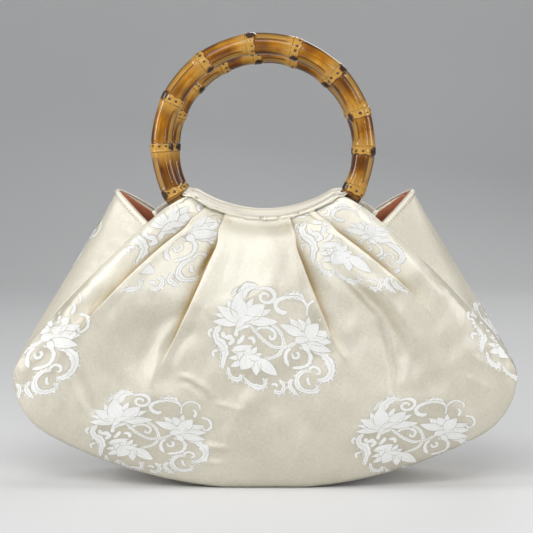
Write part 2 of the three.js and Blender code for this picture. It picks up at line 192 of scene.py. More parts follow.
def station_lines(v, inset=0.0):
    """Points of every station at these shares of the height; y is the depth in front of the middle."""
    v = np.asarray(v, float)
    t = v[:, None]
    seam = side_line(SIDE_SEAM, v, inset)
    edge = seam_depth(v)
    lines = [np.stack([-seam[:, 0], edge, seam[:, 1]], -1)]
    for _, x, z, depth, foot, bow, bulge in STATIONS:
        low = lower_edge(foot, inset)
        high = np.array([x, z])
        outwards = unit(np.array([math.copysign(1, x), 0.6]))
        bend = (low + high) / 2 + 2 * bow * outwards
        p = (1 - t) ** 2 * low + 2 * t * (1 - t) * bend + t**2 * high
        swell = mix(float(seam_depth(0.0)), depth, v) + bulge * fullness(v)
        lines.append(np.stack([p[:, 0], swell, p[:, 1]], -1))
    lines.append(np.stack([seam[:, 0], edge, seam[:, 1]], -1))
    return np.stack(lines, 1)


def through_stations(points, places):
    """A smooth curve through each row of station points, read at places counted in stations."""
    first = 2 * points[:, :1] - points[:, 1:2]
    last = 2 * points[:, -1:] - points[:, -2:-1]
    p = np.concatenate([first, points, last], 1)
    gap = np.sqrt(np.linalg.norm(np.diff(p, axis=1), axis=-1))
    i = np.minimum(places.astype(int), points.shape[1] - 2)
    t = (places - i)[None, :, None]
    p0, p1, p2, p3 = (p[:, i + k] for k in range(4))
    g0, g1, g2 = (gap[:, i + k][..., None] for k in range(3))
    m1 = ((p1 - p0) / g0 - (p2 - p0) / (g0 + g1) + (p2 - p1) / g1) * g1
    m2 = ((p2 - p1) / g1 - (p3 - p1) / (g1 + g2) + (p3 - p2) / g2) * g1
    rise = 3 * t**2 - 2 * t**3
    return p1 + (p2 - p1) * rise + m1 * (t**3 - 2 * t**2 + t) + m2 * (t**3 - t**2)


def smooth_panel(places, v, inset=0.0):
    """The panel before its pleats, drawn on to the true lower edge."""
    places = np.asarray(places, float)
    v = np.asarray(v, float)
    form = through_stations(station_lines(v, inset), places)
    low = through_stations(station_lines(np.zeros(1), inset), places)[0]
    edge = lower_edge(np.interp(places, np.arange(LAST + 1), FEET), inset)
    fade = ((1 - v) ** 2)[:, None]
    form[..., 0] += fade * (edge[:, 0] - low[:, 0])
    form[..., 2] += fade * (edge[:, 1] - low[:, 2])
    return form


print(f"{LAST + 1} stations from seam to seam")

# %% [markdown]
# ## Knife pleats
# A knife pleat is cloth folded into a flat S: the layer nearer the middle of the bag lies on top, turns
# under at a crisp edge, and comes out again below. A step in the surface would look like a ridge, so the
# columns at each pleat travel out, back under, and out again. The fold opens as it runs down the panel.

# %% The S of each pleat
PLEATS = [
    # station: counted from the left; outward: the side that tucks under; step: height; release: share of
    # the height where the fold has opened out; reach: spread of the hollow beside it; lap: width of the S;
    # gully: extra depth close to the fold; billow: the roll of cloth beyond it
    (3, -1, 3.2, 0.26, 7, 2.4, 0.3, 0.8),
    (4, -1, 6.2, 0.36, 13, 3.0, 2.4, 1.8),
    (6, 1, 5.8, 0.4, 14, 2.8, 2.2, 2.0),
    (7, 1, 3.8, 0.44, 9, 2.4, 0.9, 1.0),
]
PLEAT_STEP = 0.07  # width of the fold, as a share of the space to the next station
PLEAT_LIFT = 0.4  # share of the fold's height that stands out of the smooth form
PLEAT_LIFT_REACH = 9
PLEAT_OPENING = 0.4  # share of the panel's height over which a fold opens out
PLEAT_PRESSED = 0.2  # share of the fold's height that is left under the lip
PRESSED_OVER = 0.11  # share of the panel's height over which it is pressed down
PLEAT_INWARD = 1.5  # the whole fold is moved towards the middle by this share of its lap
PLEAT_INWARD_REACH = 15
INWARD_AT_LIP = 0.35  # how much of that is left under the lip
FOLD_ROLL = 0.9  # the rolled edge of the layer on top
FOLD_ROLL_REACH = 2.2
FOLD_COLUMNS = 15  # columns through each fold
FOLD_MARGIN = 0.02  # other columns keep this far off, in stations
GULLY_REACH = 5
BILLOW_AWAY = 15
BILLOW_REACH = 8
TUCKED_REACH = 1.6  # how far from a fold the silk stays in its warm shade
TUCKED_SHADE = 0.19  # its strength for each mm of the fold's height
TUCKED_AT_LIP = 0.3  # how much of that is left under the lip


def pleat_relief(form, across, places, v):
    """How far the folds move each point, out of the smooth form and across it, and how strong the painted
    shade beside a fold is there.
    """
    out = np.zeros(form.shape[:2])
    fold_shade = np.zeros(form.shape[:2])
    shift = np.zeros(form.shape)
    for station, outward, step, release, reach, lap, gully, billow in PLEATS:
        fold = smooth_panel([station], v)[:, 0]
        away = np.abs(form[..., 0] - fold[:, :1])
        turn = 2 * (places - station) * outward / PLEAT_STEP - 1
        under = ease(turn, -0.7, 0.7)
        opened = ease(v, release, release + PLEAT_OPENING)
        pressed = mix(1, PLEAT_PRESSED, ease(v, UNDER_LIP - PRESSED_OVER, UNDER_LIP))
        height = (step * opened * pressed)[:, None]
        sunk = (PLEAT_LIFT - 1) * np.exp(-away / reach)
        raised = PLEAT_LIFT * np.exp(-away / PLEAT_LIFT_REACH)
        beside = billow * bell(away - BILLOW_AWAY, BILLOW_REACH) - gully * bell(away, GULLY_REACH)
        rolled = FOLD_ROLL * bell(away, FOLD_ROLL_REACH)
        out += height * mix(raised, sunk, under) + (opened * pressed)[:, None] * mix(rolled, beside, under)
        travel = np.where(np.abs(turn) < 1, -np.sin(math.pi * turn), 0)
        free = ease(pressed, PLEAT_PRESSED, 1)
        inward = PLEAT_INWARD * bell(away, PLEAT_INWARD_REACH) * mix(INWARD_AT_LIP, 1, free)[:, None]
        shift += (opened[:, None] * lap * outward * (travel[None, :] - inward))[..., None] * across
        # painted shade: the layer that tucks under is given a warm gold tone close to the fold
        shade = TUCKED_SHADE * step * opened * mix(TUCKED_AT_LIP, 1, free)
        beyond = np.maximum(away - lap, 0)
        fold_shade = np.maximum(fold_shade, shade[:, None] * under * np.exp(-beyond / TUCKED_REACH))
    return out, shift, fold_shade


def pleat_places(columns):
    """Columns across the panel: even ones between stations, and a close set through each fold."""
    places = []
    for i in range(LAST):
        places += list(i + np.arange(columns[i]) / columns[i])
    places.append(LAST)
    for station, outward, *_ in PLEATS:
        fold = station + outward * PLEAT_STEP * np.linspace(0, 1, FOLD_COLUMNS)
        low, high = fold.min() - FOLD_MARGIN, fold.max() + FOLD_MARGIN
        places = [p for p in places if not low < p < high] + list(fold)
    return np.array(sorted(places))


print(f"{len(PLEATS)} knife pleats")

# %% [markdown]
# ## Hollows, creases and puckers
# Silk over padding keeps soft hollows between its pleats, a few sharp creases where it was pressed, and
# small puckers where the seam draws it in. Each is a row of a short table: hollows follow the stations,
# creases are lines seen from the front, and puckers are ripples that die out away from the seam.

# %% Hollows and creases
HOLLOWS = [
    # station, low, high: place across and the shares of the height it spans; sink; half width
    (3.62, 0.10, 0.62, 5.0, 13),
    (6.5, 0.14, 0.84, 4.4, 11),
    (5.55, 0.02, 0.34, 1.7, 9),
]
CREASES = [
    # height: out of the panel, or into it where below 0; half width; points (x, z) seen from the front
    (-4.2, 2.2, [(-31.5, 163), (-35.6, 152), (-41, 141), (-45.5, 132)]),
    # the long valley on the right, between two rolls
    (-2.8, 3.8, [(36, 150), (46, 137.5), (62, 123), (75, 109), (86, 90), (90, 78)]),
    (1.3, 4.2, [(44, 151), (55, 140), (70, 126), (83, 111), (95, 90)]),
    (1.1, 5.0, [(38, 136), (51, 122), (63, 107), (70, 92)]),
    (-1.9, 2.2, [(70, 108), (76, 94), (79, 78), (80, 60), (81, 46)]),
    (1.0, 3.6, [(85, 84), (87, 74), (87, 62)]),
    # the roll on the left, between two valleys
    (1.7, 2.8, [(-52, 112), (-60, 101), (-66, 88), (-70.5, 62)]),
    (-2.0, 5.0, [(-60, 116), (-69, 100), (-75, 82), (-78, 62)]),
    (-1.7, 4.0, [(-45, 108), (-54, 93), (-60, 78), (-63, 60)]),
    # short bright creases about the middle, and puckers at the seams
    (1.9, 1.3, [(-55, 73.5), (-46, 70.6), (-40, 66.3), (-35.8, 62.6), (-30.5, 56)]),
    (-1.5, 1.7, [(-54, 70), (-45.5, 67.5), (-40.5, 63), (-36.5, 58.5)]),
    (0.6, 1.3, [(-34, 56), (-21.6, 53.3), (-7, 50)]),
    (2.3, 4.6, [(-5, 66), (-11, 56), (-15.4, 48.9), (-24.7, 32.2), (-28, 26)]),
    (-1.8, 5.0, [(4, 62), (-3, 48), (-12, 30)]),
    (1.9, 2.2, [(-38, 29), (-29, 27), (-21, 27.8)]),
    (1.4, 1.8, [(-40, 18.4), (-31, 17), (-24, 18)]),
    (0.7, 1.8, [(-41, 118), (-36, 111), (-31, 107)]),
    (1.7, 1.8, [(39, 102), (43, 96), (46.3, 90), (52, 79)]),
    (1.0, 3.2, [(-84, 50), (-81, 40), (-82, 30)]),
    (-1.3, 2.6, [(-133, 80), (-127, 64), (-120, 46)]),
    (1.2, 2.4, [(-126, 84), (-119, 64), (-110, 44)]),
    (-1.0, 2.6, [(-117, 78), (-110, 60), (-104, 42)]),
    (0.6, 3.0, [(-120, 62), (-104, 38), (-92, 22)]),
    (0.9, 3.6, [(76, 154), (90, 143), (103, 130), (116, 116)]),
    (0.9, 2.4, [(126, 84), (138, 79), (150, 71)]),
    (0.6, 2.0, [(122, 74), (134, 66), (147, 62)]),
    (0.5, 3.2, [(112, 58), (124, 44), (133, 36)]),
    (-0.5, 4.0, [(20, 64), (26, 40), (30, 22)]),
]


def hollow_relief(form, v):
    out = np.zeros(form.shape[:2])
    for station, low, high, sink, half in HOLLOWS:
        away = form[..., 0] - smooth_panel([station], v)[:, 0, :1]
        middle = (low + high) / 2
        along = np.clip(1 - np.abs(v - middle) / (high - middle), 0, 1)
        out -= sink * bell(away, half) * ease(along, 0, 0.8)[:, None]
    return out


def crease_relief(x, z):
    """The height of every crease at points seen from the front."""
    out = np.zeros(x.shape)
    for height, half, points in CREASES:
        line = np.array(points, float)
        spans = np.linalg.norm(np.diff(line, axis=0), axis=1)
        whole = spans.sum()
        nearest = np.full(x.shape, 1e9)
        share = np.zeros(x.shape)
        for k, span in enumerate(spans):
            along = (line[k + 1] - line[k]) / span
            t = np.clip((x - line[k, 0]) * along[0] + (z - line[k, 1]) * along[1], 0, span)
            off = np.hypot(x - line[k, 0] - t * along[0], z - line[k, 1] - t * along[1])
            closer = off < nearest
            nearest = np.where(closer, off, nearest)
            share = np.where(closer, (spans[:k].sum() + t) / whole, share)
        out += height * bell(nearest, half) * ease(share, 0, 0.25) * ease(1 - share, 0, 0.3)
    return out


WAVES = 7  # sine waves in each set of ripples
RUMPLES = [
    # height, wave length, how far it is drawn out up the panel, seed
    (0.7, 46, 1, 3),
    (0.85, 17, 1.6, 5),
    (0.46, 8, 2.2, 9),
]


def soft_waves(x, z, length, seed):
    """Slow uneven ripples made of a few sine waves with fixed, seeded directions."""
    rng = np.random.default_rng(seed)
    total = np.zeros(np.broadcast(x, z).shape)
    for _ in range(WAVES):
        heading = rng.uniform(0, 2 * math.pi)
        wave = length * rng.uniform(0.7, 1.5)
        phase = rng.uniform(0, 2 * math.pi)
        total = total + np.sin(2 * math.pi * (x * math.cos(heading) + z * math.sin(heading)) / wave + phase)
    return total / WAVES


def soft_rumples(x, z):
    """Uneven padding, and finer crinkles drawn out along the hang of the cloth."""
    return sum(height * soft_waves(x, z / drawn, length, seed) for height, length, drawn, seed in RUMPLES)


def uneven_ripple(run, wave, swing, drift):
    """Puckers along a seam: a ripple whose spacing drifts."""
    return np.sin(run / wave + swing * np.sin(run / drift))


def coming_and_going(run, wave):
    """A strength from 0.2 to 1 that changes slowly along a seam."""
    return 0.6 + 0.4 * np.sin(run / wave)


print(f"{len(HOLLOWS)} hollows and {len(CREASES)} creases")

# %% [markdown]
# ## From a grid of points to cloth
# Every cloth piece here is a grid of points. The helper below gives it a wall: the same grid again,
# moved in along the normals, joined to the first by one rounded rim. It also writes a UV map in metres
# measured along the cloth, so that the weave keeps its size on every piece.

# %% Sewing a wall from a grid


def grid_normals(face):
    across = np.gradient(face, axis=1)
    up = np.gradient(face, axis=0)
    return unit(np.cross(across, up))


def cloth_lengths(face):
    """Distances along the cloth, across from its middle column and up from its first row."""
    across = np.cumsum(np.linalg.norm(np.diff(face, axis=1), axis=-1), axis=1)
    up = np.cumsum(np.linalg.norm(np.diff(face, axis=0), axis=-1), axis=0)
    u = np.pad(across, ((0, 0), (1, 0)))
    v = np.pad(up, ((1, 0), (0, 0)))
    return np.stack([u - u[:, face.shape[1] // 2][:, None], v], -1)


def rounded_rim(outer, inner, bulge):
    """Both grids with one shared border of points half way between them, standing out a little."""
    middle = (outer + inner) / 2
    rim = np.pad(middle, ((1, 1), (1, 1), (0, 0)), mode="edge")
    rows = ((np.s_[0], np.s_[1]), (np.s_[-1], np.s_[-2]))
    columns = ((np.s_[:, 0], np.s_[:, 1]), (np.s_[:, -1], np.s_[:, -2]))
    for last, before in rows + columns:
        rim[last] += bulge * np.pad(unit(middle[last] - middle[before]), ((1, 1), (0, 0)), mode="edge")
    front, back = rim.copy(), rim
    front[1:-1, 1:-1] = outer
    back[1:-1, 1:-1] = inner
    return front, back


def place_object(name, data):
    """A new object in the scene, at the origin and unturned."""
    made = bpy.data.objects.new(name, data)
    bpy.context.scene.collection.objects.link(made)
    return made


def write_uvs(mesh, uvs):
    """A UV map from one pair of lengths in metres for each point."""
    corners = np.zeros(len(mesh.loops), np.int32)
    mesh.loops.foreach_get("vertex_index", corners)
    layer = mesh.uv_layers.new(name="cloth")
    layer.data.foreach_set("uv", np.asarray(uvs, np.float32)[corners].ravel())


def write_marks(piece, label, values):
    """Stores one value for each point of a mesh, for its material to read."""
    layer = piece.data.attributes.new(label, "FLOAT", "POINT")
    layer.data.foreach_set("value", np.asarray(values, np.float32).ravel())


def new_piece(name, points, quads, uvs, material):
    """A mesh object from points in millimetres, quads of indices, and a UV for each point."""
    mesh = bpy.data.meshes.new(name)
    mesh.from_pydata((points * MM).tolist(), [], quads.tolist())
    write_uvs(mesh, uvs * MM)
    mesh.materials.append(material)
    mesh.shade_smooth()
    return place_object(name, mesh)


def grid_quads(ids):
    """Quads between the neighbours in a grid of point numbers."""
    return np.stack([ids[:-1, :-1], ids[:-1, 1:], ids[1:, 1:], ids[1:, :-1]], -1).reshape(-1, 4)


def sew_wall(name, face, thickness, material):
    """A closed cloth wall behind a grid of outer points."""
    inner = face - thickness * grid_normals(face)
    front, back = rounded_rim(face, inner, thickness * 0.4)
    ids = np.arange(front[..., 0].size).reshape(front.shape[:2])
    behind = ids.copy()  # the border is shared, and only the points inside it are new
    behind[1:-1, 1:-1] = ids.size + np.arange(face[..., 0].size).reshape(face.shape[:2])
    points = np.concatenate([front.reshape(-1, 3), back[1:-1, 1:-1].reshape(-1, 3)])
    lengths = cloth_lengths(front)
    uvs = np.concatenate([lengths.reshape(-1, 2), lengths[1:-1, 1:-1].reshape(-1, 2)])
    quads = np.concatenate([grid_quads(ids), grid_quads(behind)[:, [0, 3, 2, 1]]])
    piece = new_piece(name, points, quads, uvs, material)
    print(f"{name}: {len(piece.data.polygons)} faces")
    return piece


def mark_cloth(piece, label, values):
    """Marks for each point of a wall's grid, the same on both of its sides."""
    rim = np.pad(values, 1, mode="edge")
    write_marks(piece, label, np.r_[rim.ravel(), values.ravel()])


def mirrored(face):
    """The same grid on the other side of the bag, with its columns turned round to face outwards."""
    return (face * (1, -1, 1))[:, ::-1]


# %% [markdown]
# ## Weave
# Silk shows its threads only close up, but they set how it shines: tiny floats catch the light along one
# way. One shader group makes the weave for every cloth here. It reads the UV map in metres and puts out
# a height for the bump, the floats, a fine grain about zero, and slow tone changes from wear and dye.

# %% Weave group


def socket(node, name):
    return next(s for s in node.inputs if s.name == name)


def out_of(node, name):
    return next(s for s in node.outputs if s.name == name)


def new_group(name, inputs, outputs):
    """An empty shader group; inputs and outputs are (name, socket type, value)."""
    group = bpy.data.node_groups.new(name, "ShaderNodeTree")
    for label, kind, value in inputs:
        made = group.interface.new_socket(label, in_out="INPUT", socket_type=kind)
        if value is not None:
            made.default_value = value
    for label, kind in outputs:
        group.interface.new_socket(label, in_out="OUTPUT", socket_type=kind)
    return group, group.nodes.new("NodeGroupInput"), group.nodes.new("NodeGroupOutput")


def math_node(tree, operation, first, second):
    """A Math node whose two values are numbers or sockets."""
    node = tree.nodes.new("ShaderNodeMath")
    node.operation = operation
    for slot, value in zip(node.inputs, (first, second)):
        if isinstance(value, (int, float)):
            slot.default_value = value
        else:
            tree.links.new(value, slot)
    return node.outputs[0]


def times_plus(tree, value, times, plus):
    """A value times a number, with a number or another value added."""
    return math_node(tree, "ADD", math_node(tree, "MULTIPLY", value, times), plus)


def set_sockets(node, values):
    """Sets numbers or colours on a node's named inputs."""
    for name, value in values.items():
        socket(node, name).default_value = value


def stretched_noise(tree, vector, scale, detail):
    """Noise read with its own scale in each direction, for threads and grain."""
    mapping = tree.nodes.new("ShaderNodeMapping")
    set_sockets(mapping, {"Scale": scale})
    tree.links.new(vector, socket(mapping, "Vector"))
    noise = tree.nodes.new("ShaderNodeTexNoise")
    set_sockets(noise, {"Scale": 1, "Detail": detail})
    tree.links.new(out_of(mapping, "Vector"), socket(noise, "Vector"))
    return noise.outputs[0]


SCALE_PER_THREAD = 0.314  # a wave texture makes 20 / (2 pi) bands for each unit of its scale


def make_weave():
    group, given, made = new_group(
        "weave",
        [("Vector", "NodeSocketVector", None), ("Threads per metre", "NodeSocketFloat", 2600.0)],
        [(label, "NodeSocketFloat") for label in ("Height", "Floats", "Grain", "Tone")],
    )
    vector = out_of(given, "Vector")
    per_metre = out_of(given, "Threads per metre")
    waves = []
    for direction in ("X", "Y"):
        wave = group.nodes.new("ShaderNodeTexWave")
        wave.bands_direction = direction
        set_sockets(wave, {"Distortion": 1.5, "Detail": 1})
        group.links.new(vector, socket(wave, "Vector"))
        group.links.new(math_node(group, "MULTIPLY", per_metre, SCALE_PER_THREAD), socket(wave, "Scale"))
        waves.append(out_of(wave, "Fac"))
    floats = stretched_noise(group, vector, (1700, 420, 1), 2)
    picks = stretched_noise(group, vector, (380, 1500, 1), 2)
    threads = math_node(group, "MULTIPLY", math_node(group, "ADD", waves[0], waves[1]), 0.22)
    both = math_node(group, "ADD", floats, picks)
    crumple = math_node(group, "MULTIPLY", stretched_noise(group, vector, (75, 42, 1), 3), 5.5)
    mottled = math_node(group, "MULTIPLY", stretched_noise(group, vector, (120, 160, 1), 3), 0.15)
    results = {
        "Height": math_node(group, "ADD", times_plus(group, both, 0.4, threads), crumple),
        "Floats": floats,
        "Grain": math_node(group, "SUBTRACT", both, 1.0),
        "Tone": times_plus(group, stretched_noise(group, vector, (14, 14, 1), 3), 0.85, mottled),
    }
    for label, value in results.items():
        group.links.new(value, socket(made, label))
    return group


WEAVE = make_weave()
print("weave group:", len(WEAVE.nodes), "nodes")

# %% [markdown]
# ## Cloth materials
# The ground is an ivory satin, the figures are the same silk woven the other way up, so they are whiter
# and duller, and the lining is terracotta satin. One function builds all of them from rows of a table, so
# that a maker can change a cloth in one row. The small functions before it are used by the bamboo too.

# %% Parts of a material


def new_material(name):
    """A material, its node tree and its shader."""
    material = bpy.data.materials.new(name)
    material.use_nodes = True
    return material, material.node_tree, material.node_tree.nodes["Principled BSDF"]


def mark_of(tree, name):
    """The marks that a mesh stores for each of its points."""
    node = tree.nodes.new("ShaderNodeAttribute")
    node.attribute_name = name
    return out_of(node, "Fac")


def mix_colours(tree, share, first, second):
    """A colour mix; each side is a colour or a socket."""
    node = tree.nodes.new("ShaderNodeMix")
    node.data_type = "RGBA"
    tree.links.new(share, node.inputs[0])
    for slot, colour in ((node.inputs[6], first), (node.inputs[7], second)):
        if isinstance(colour, tuple):
            slot.default_value = (*colour, 1)
        else:
            tree.links.new(colour, slot)
    return node.outputs[2]


def bump_from(tree, shader, height, strength, distance):
    """Turns a height into the shader's normal."""
    relief = tree.nodes.new("ShaderNodeBump")
    set_sockets(relief, {"Strength": strength, "Distance": distance})
    tree.links.new(height, socket(relief, "Height"))
    tree.links.new(out_of(relief, "Normal"), socket(shader, "Normal"))


def cloth_vector(tree):
    """Places on a piece, from its own UV map in metres."""
    uv = tree.nodes.new("ShaderNodeUVMap")
    uv.uv_map = "cloth"
    return out_of(uv, "UV")


# %% Silk, figure, lining and thread
DULLING_AND_PAINTED_LIGHT = 0.3  # how far the ground goes to its darker tone inside a figure, and how strongly a mark below 0 paints light on it instead
PAINTED_FOLD_SHADE = (0.5, 0.33, 0.085)  # painted shade: a warm gold mixed into the silk deep in a fold
THREAD_BUMP = 0.0003
CLOTHS = {
    # two tones; roughness range; satin shine; visible grain; threads per metre; bump; IOR
    "ivory_silk_satin":
        (((0.36, 0.321, 0.222), (0.76, 0.717, 0.585)), (0.28, 0.44), 0.05, 0.45, 2600, 0.5, 2.5),
    "white_silk_figure":
        (((0.68, 0.68, 0.66), (0.84, 0.84, 0.82)), (0.5, 0.62), 0.0, 1.0, 1700, 0.6, 1.6),
    "figure_outline_thread":
        (((0.44, 0.415, 0.35), (0.54, 0.515, 0.445)), (0.5, 0.6), 0.0, 0.5, 1700, 0.4, 1.45),
    "terracotta_satin":
        (((0.42, 0.125, 0.055), (0.66, 0.26, 0.14)), (0.26, 0.4), 0.25, 0.8, 2400, 0.35, 1.45),
    "sewing_thread":
        (((0.3, 0.24, 0.14), (0.45, 0.38, 0.25)), (0.45, 0.6), 0.0, 0.3, 4000, 0.4, 1.45),
}


def cloth_material(name, tones, roughness, satin, grain, threads, bump, ior):
    """A woven cloth; where a mesh carries them, one mark lowers the ground's tone inside a figure and raises
    it elsewhere as painted light, and another mixes in the painted shade of the folds.
    """
    material, tree, shader = new_material(name)
    weave = tree.nodes.new("ShaderNodeGroup")
    weave.node_tree = WEAVE
    set_sockets(weave, {"Threads per metre": threads})
    tree.links.new(cloth_vector(tree), socket(weave, "Vector"))
    blend = times_plus(tree, out_of(weave, "Grain"), grain, out_of(weave, "Tone"))
    # inside a figure the mark lowers the ground's tone; below 0 it raises it, as painted light on the
    # shoulders, under the lip, on the bands and on the gusset
    blend = times_plus(tree, mark_of(tree, "dull_and_painted_light"), -DULLING_AND_PAINTED_LIGHT, blend)
    # painted shade: the fold mark mixes the colour towards a warm gold
    colour = mix_colours(tree, mark_of(tree, "fold_shade"), mix_colours(tree, blend, *tones), PAINTED_FOLD_SHADE)
    tree.links.new(colour, socket(shader, "Base Color"))
    rough = times_plus(tree, out_of(weave, "Floats"), roughness[1] - roughness[0], roughness[0])
    tree.links.new(rough, socket(shader, "Roughness"))
    bump_from(tree, shader, out_of(weave, "Height"), bump, THREAD_BUMP)
    set_sockets(shader, {"Metallic": satin, "IOR": ior, "Sheen Weight": 0.1, "Sheen Roughness": 0.4})
    return material


IVORY, FIGURE, OUTLINE, TERRACOTTA, THREAD = (cloth_material(name, *row) for name, row in CLOTHS.items())
print("cloths:", ", ".join(CLOTHS))

# %% [markdown]
# ## The panels
# The front panel is the face of the bag. All of the above comes together here: the smooth hang, the S of
# each pleat, hollows, creases, and puckers drawn in along the lower and side seams. Where the cloth
# passes over the ring it is kept clear of the cane. The back panel is the same cut, turned round.

# %% The front panel
RING = {"outer": 140, "tube": 13.7, "x": -1.2, "y": 27, "z": 214}
BACK_RING = {"shift": 1.8, "drop": 4}
KNOT_SWELL = 0.55
CANE_RADIUS = RING["tube"] / 2
CANE_LINE = RING["outer"] / 2 - CANE_RADIUS  # radius of the cane's middle line
PANEL_COLUMNS = [8, 6, 8, 40, 26, 26, 46, 8, 6, 8]  # between stations, from the left seam
PANEL_ROWS = 1 - np.linspace(1, 0, 120) ** 0.92
DEEPEST = 7.4  # folds stop short of the lining
OVER_CANE_ROUND = 2.4  # how softly the cloth goes on to the cane
LEAVES_CANE = math.radians(60)  # the angle at which it leaves the cane again, on both sides
PLY = 1.2  # how far a pleat's layers are kept apart over the ring
SEAM_DIP = 1.0  # the side seams draw the cloth in
SEAM_REACH = 2.2
SEAM_ROLL = 0.8  # and it stands out in a roll beside them
SEAM_ROLL_AWAY = 4
FOOT_RUN = 187  # length of half of the lower edge
FOOT_PUCKER = 0.22  # height of the puckers above the lower seam
SIDE_PUCKER = 0.16  # height of those beside the side seams
POCKET_FROM = 2.3  # a crease deeper than this is a pocket in warm shade
POCKET_SHADE = 0.5
TUCK = 1.0  # how far the upper edge is tucked up under the band's lip


def over_ring(x, z):
    """Depth of cloth drawn over a ring at a point seen from the front, for either ring's place."""
    reach = CANE_RADIUS + KNOT_SWELL + GAP + 1.6 * SILK
    depth = np.zeros(x.shape)
    for shift, drop in ((0, 0), (BACK_RING["shift"], BACK_RING["drop"])):
        off = np.abs(np.hypot(x - RING["x"] - shift, z - RING["z"] + drop) - CANE_LINE)
        round_cane = np.sqrt(np.maximum(reach**2 - off**2, 0))
        straight = (reach - off * math.sin(LEAVES_CANE)) / math.cos(LEAVES_CANE)
        arch = np.where(off < reach * math.sin(LEAVES_CANE), round_cane, straight)
        depth = np.maximum(depth, RING["y"] + arch)
    return depth


def soft_larger(a, b):
    """The larger of two depths, with the change from one to the other rounded off."""
    return (a + b + np.sqrt((a - b) ** 2 + OVER_CANE_ROUND**2)) / 2


def deepest_fold(sink):
    """A fold goes no deeper than the lining behind it: past two thirds of the way it slows down."""
    start = DEEPEST * 2 / 3
    return start + (DEEPEST - start) * np.tanh((sink - start) / (DEEPEST - start))


def seam_puckers(places, v, edge):
    """Ripples that die out away from the lower seam and the side seams."""
    run = np.interp(places, np.arange(LAST + 1), FEET) * FOOT_RUN
    along_foot = FOOT_PUCKER * uneven_ripple(run, 1.45, 1.3, 11) * coming_and_going(run, 23)
    near_foot = ease(v, 0, 0.015) * (1 - ease(v, 0.02, 0.075))
    along_side = SIDE_PUCKER * uneven_ripple(v, 1 / 95, 1.5, 1 / 13)
    near_side = ease(edge, 0.1, 0.4) * (1 - ease(edge, 0.5, 1.2))
    return along_foot[None, :] * near_foot[:, None] + along_side[:, None] * near_side[None, :]


def seam_dips(x, v):
    """The side seams draw the cloth in, and it stands out in a roll beside them."""
    seams = smooth_panel([0, LAST], v)[..., 0]
    away = np.minimum(x - seams[:, :1], seams[:, 1:] - x)
    dip = SEAM_ROLL * bell(away - SEAM_ROLL_AWAY, SEAM_REACH) - SEAM_DIP * bell(away, SEAM_REACH)
    return dip * ease(v, 0.02, 0.2)[:, None]


def panel_face(places, v):
    """The panel's outer grid, and the strength of the painted shade of its folds at each point."""
    form = smooth_panel(places, v)
    nudge = 0.004
    ahead = smooth_panel(np.minimum(places + nudge, LAST), v)
    behind = smooth_panel(np.maximum(places - nudge, 0), v)
    across = unit((ahead - behind) * (1, 0, 1))
    folds, shift, fold_shade = pleat_relief(form, across, places, v)
    edge = np.minimum(places, LAST - places)
    hold = ease(edge, 0.4, 2.4)[None, :] * ease(v, 0, 0.12)[:, None]
    calm = ease(v, 0.02, 0.1)[:, None] * ease(1 - v, 0.02, 0.1)[:, None] * ease(edge, 0.05, 0.6)[None, :]
    x, z = form[..., 0], form[..., 2]
    creases = calm * crease_relief(x, z)
    # deep creases add more painted shade
    fold_shade = np.clip(fold_shade + POCKET_SHADE * np.maximum(-creases - POCKET_FROM, 0), 0, 1)
    out = (folds + hollow_relief(form, v)) * hold + creases + calm * soft_rumples(x, z)
    out = out + seam_puckers(places, v, edge) + seam_dips(x, v)
    out = np.where(out < -DEEPEST * 2 / 3, -deepest_fold(-out), out)
    face = form + shift * hold[..., None]
    depth = face[..., 1] + out
    face[..., 2] += TUCK * ease(v, 0.94, 1)[:, None] * ease(edge, 1, 2)[None, :]
    over_cane = over_ring(face[..., 0], face[..., 2]) + np.clip(folds, -PLY, PLY)
    covered = (v < 1)[:, None] & (edge > 1)[None, :]
    face[..., 1] = -np.where(covered, soft_larger(depth, over_cane), depth)
    return face, fold_shade


panel_columns = pleat_places(PANEL_COLUMNS)
front_face, fold_shade_grid = panel_face(panel_columns, PANEL_ROWS)
PANEL_CLOTH = 0.9  # the wall's thickness
front_panel = sew_wall("front_panel_silk", front_face, PANEL_CLOTH, IVORY)
mark_cloth(front_panel, "fold_shade", fold_shade_grid)

# %% [markdown]
# ## The gusset
# One strip of silk runs from mouth to mouth, down a side, under the bag and up the other side. It is
# creased outwards along its middle, sharply at the mouth and hardly at all under the bag. It is a grid of
# cross sections along the strip, and small puckers along both seams show where it was eased in. The back
# panel is sewn here too, because its upper ends are drawn in together with the strip's.

# %% The strip and the back panel
CREASE_ROUND = 0.4  # how blunt the crease is, as a share of half of the strip's width
MOUTH_PULL = 10.5  # the back seam is gathered further in than the front one at the mouth
MOUTH_NARROW = 0.18  # and its depth is drawn in by this share
PULLED = {"z": (112, 165), "x": (58, 76), "y": (0, 27)}  # not at all at the first value, fully at the second


def drawn_in(points):
    """Moves points near the back seam's upper ends in towards the ring."""
    x, y, z = points[..., 0], points[..., 1], points[..., 2]
    share = ease(z, *PULLED["z"]) * ease(np.abs(x), *PULLED["x"]) * ease(y, *PULLED["y"])
    return np.stack([x - np.sign(x) * MOUTH_PULL * share, y * (1 - MOUTH_NARROW * share), z], -1)


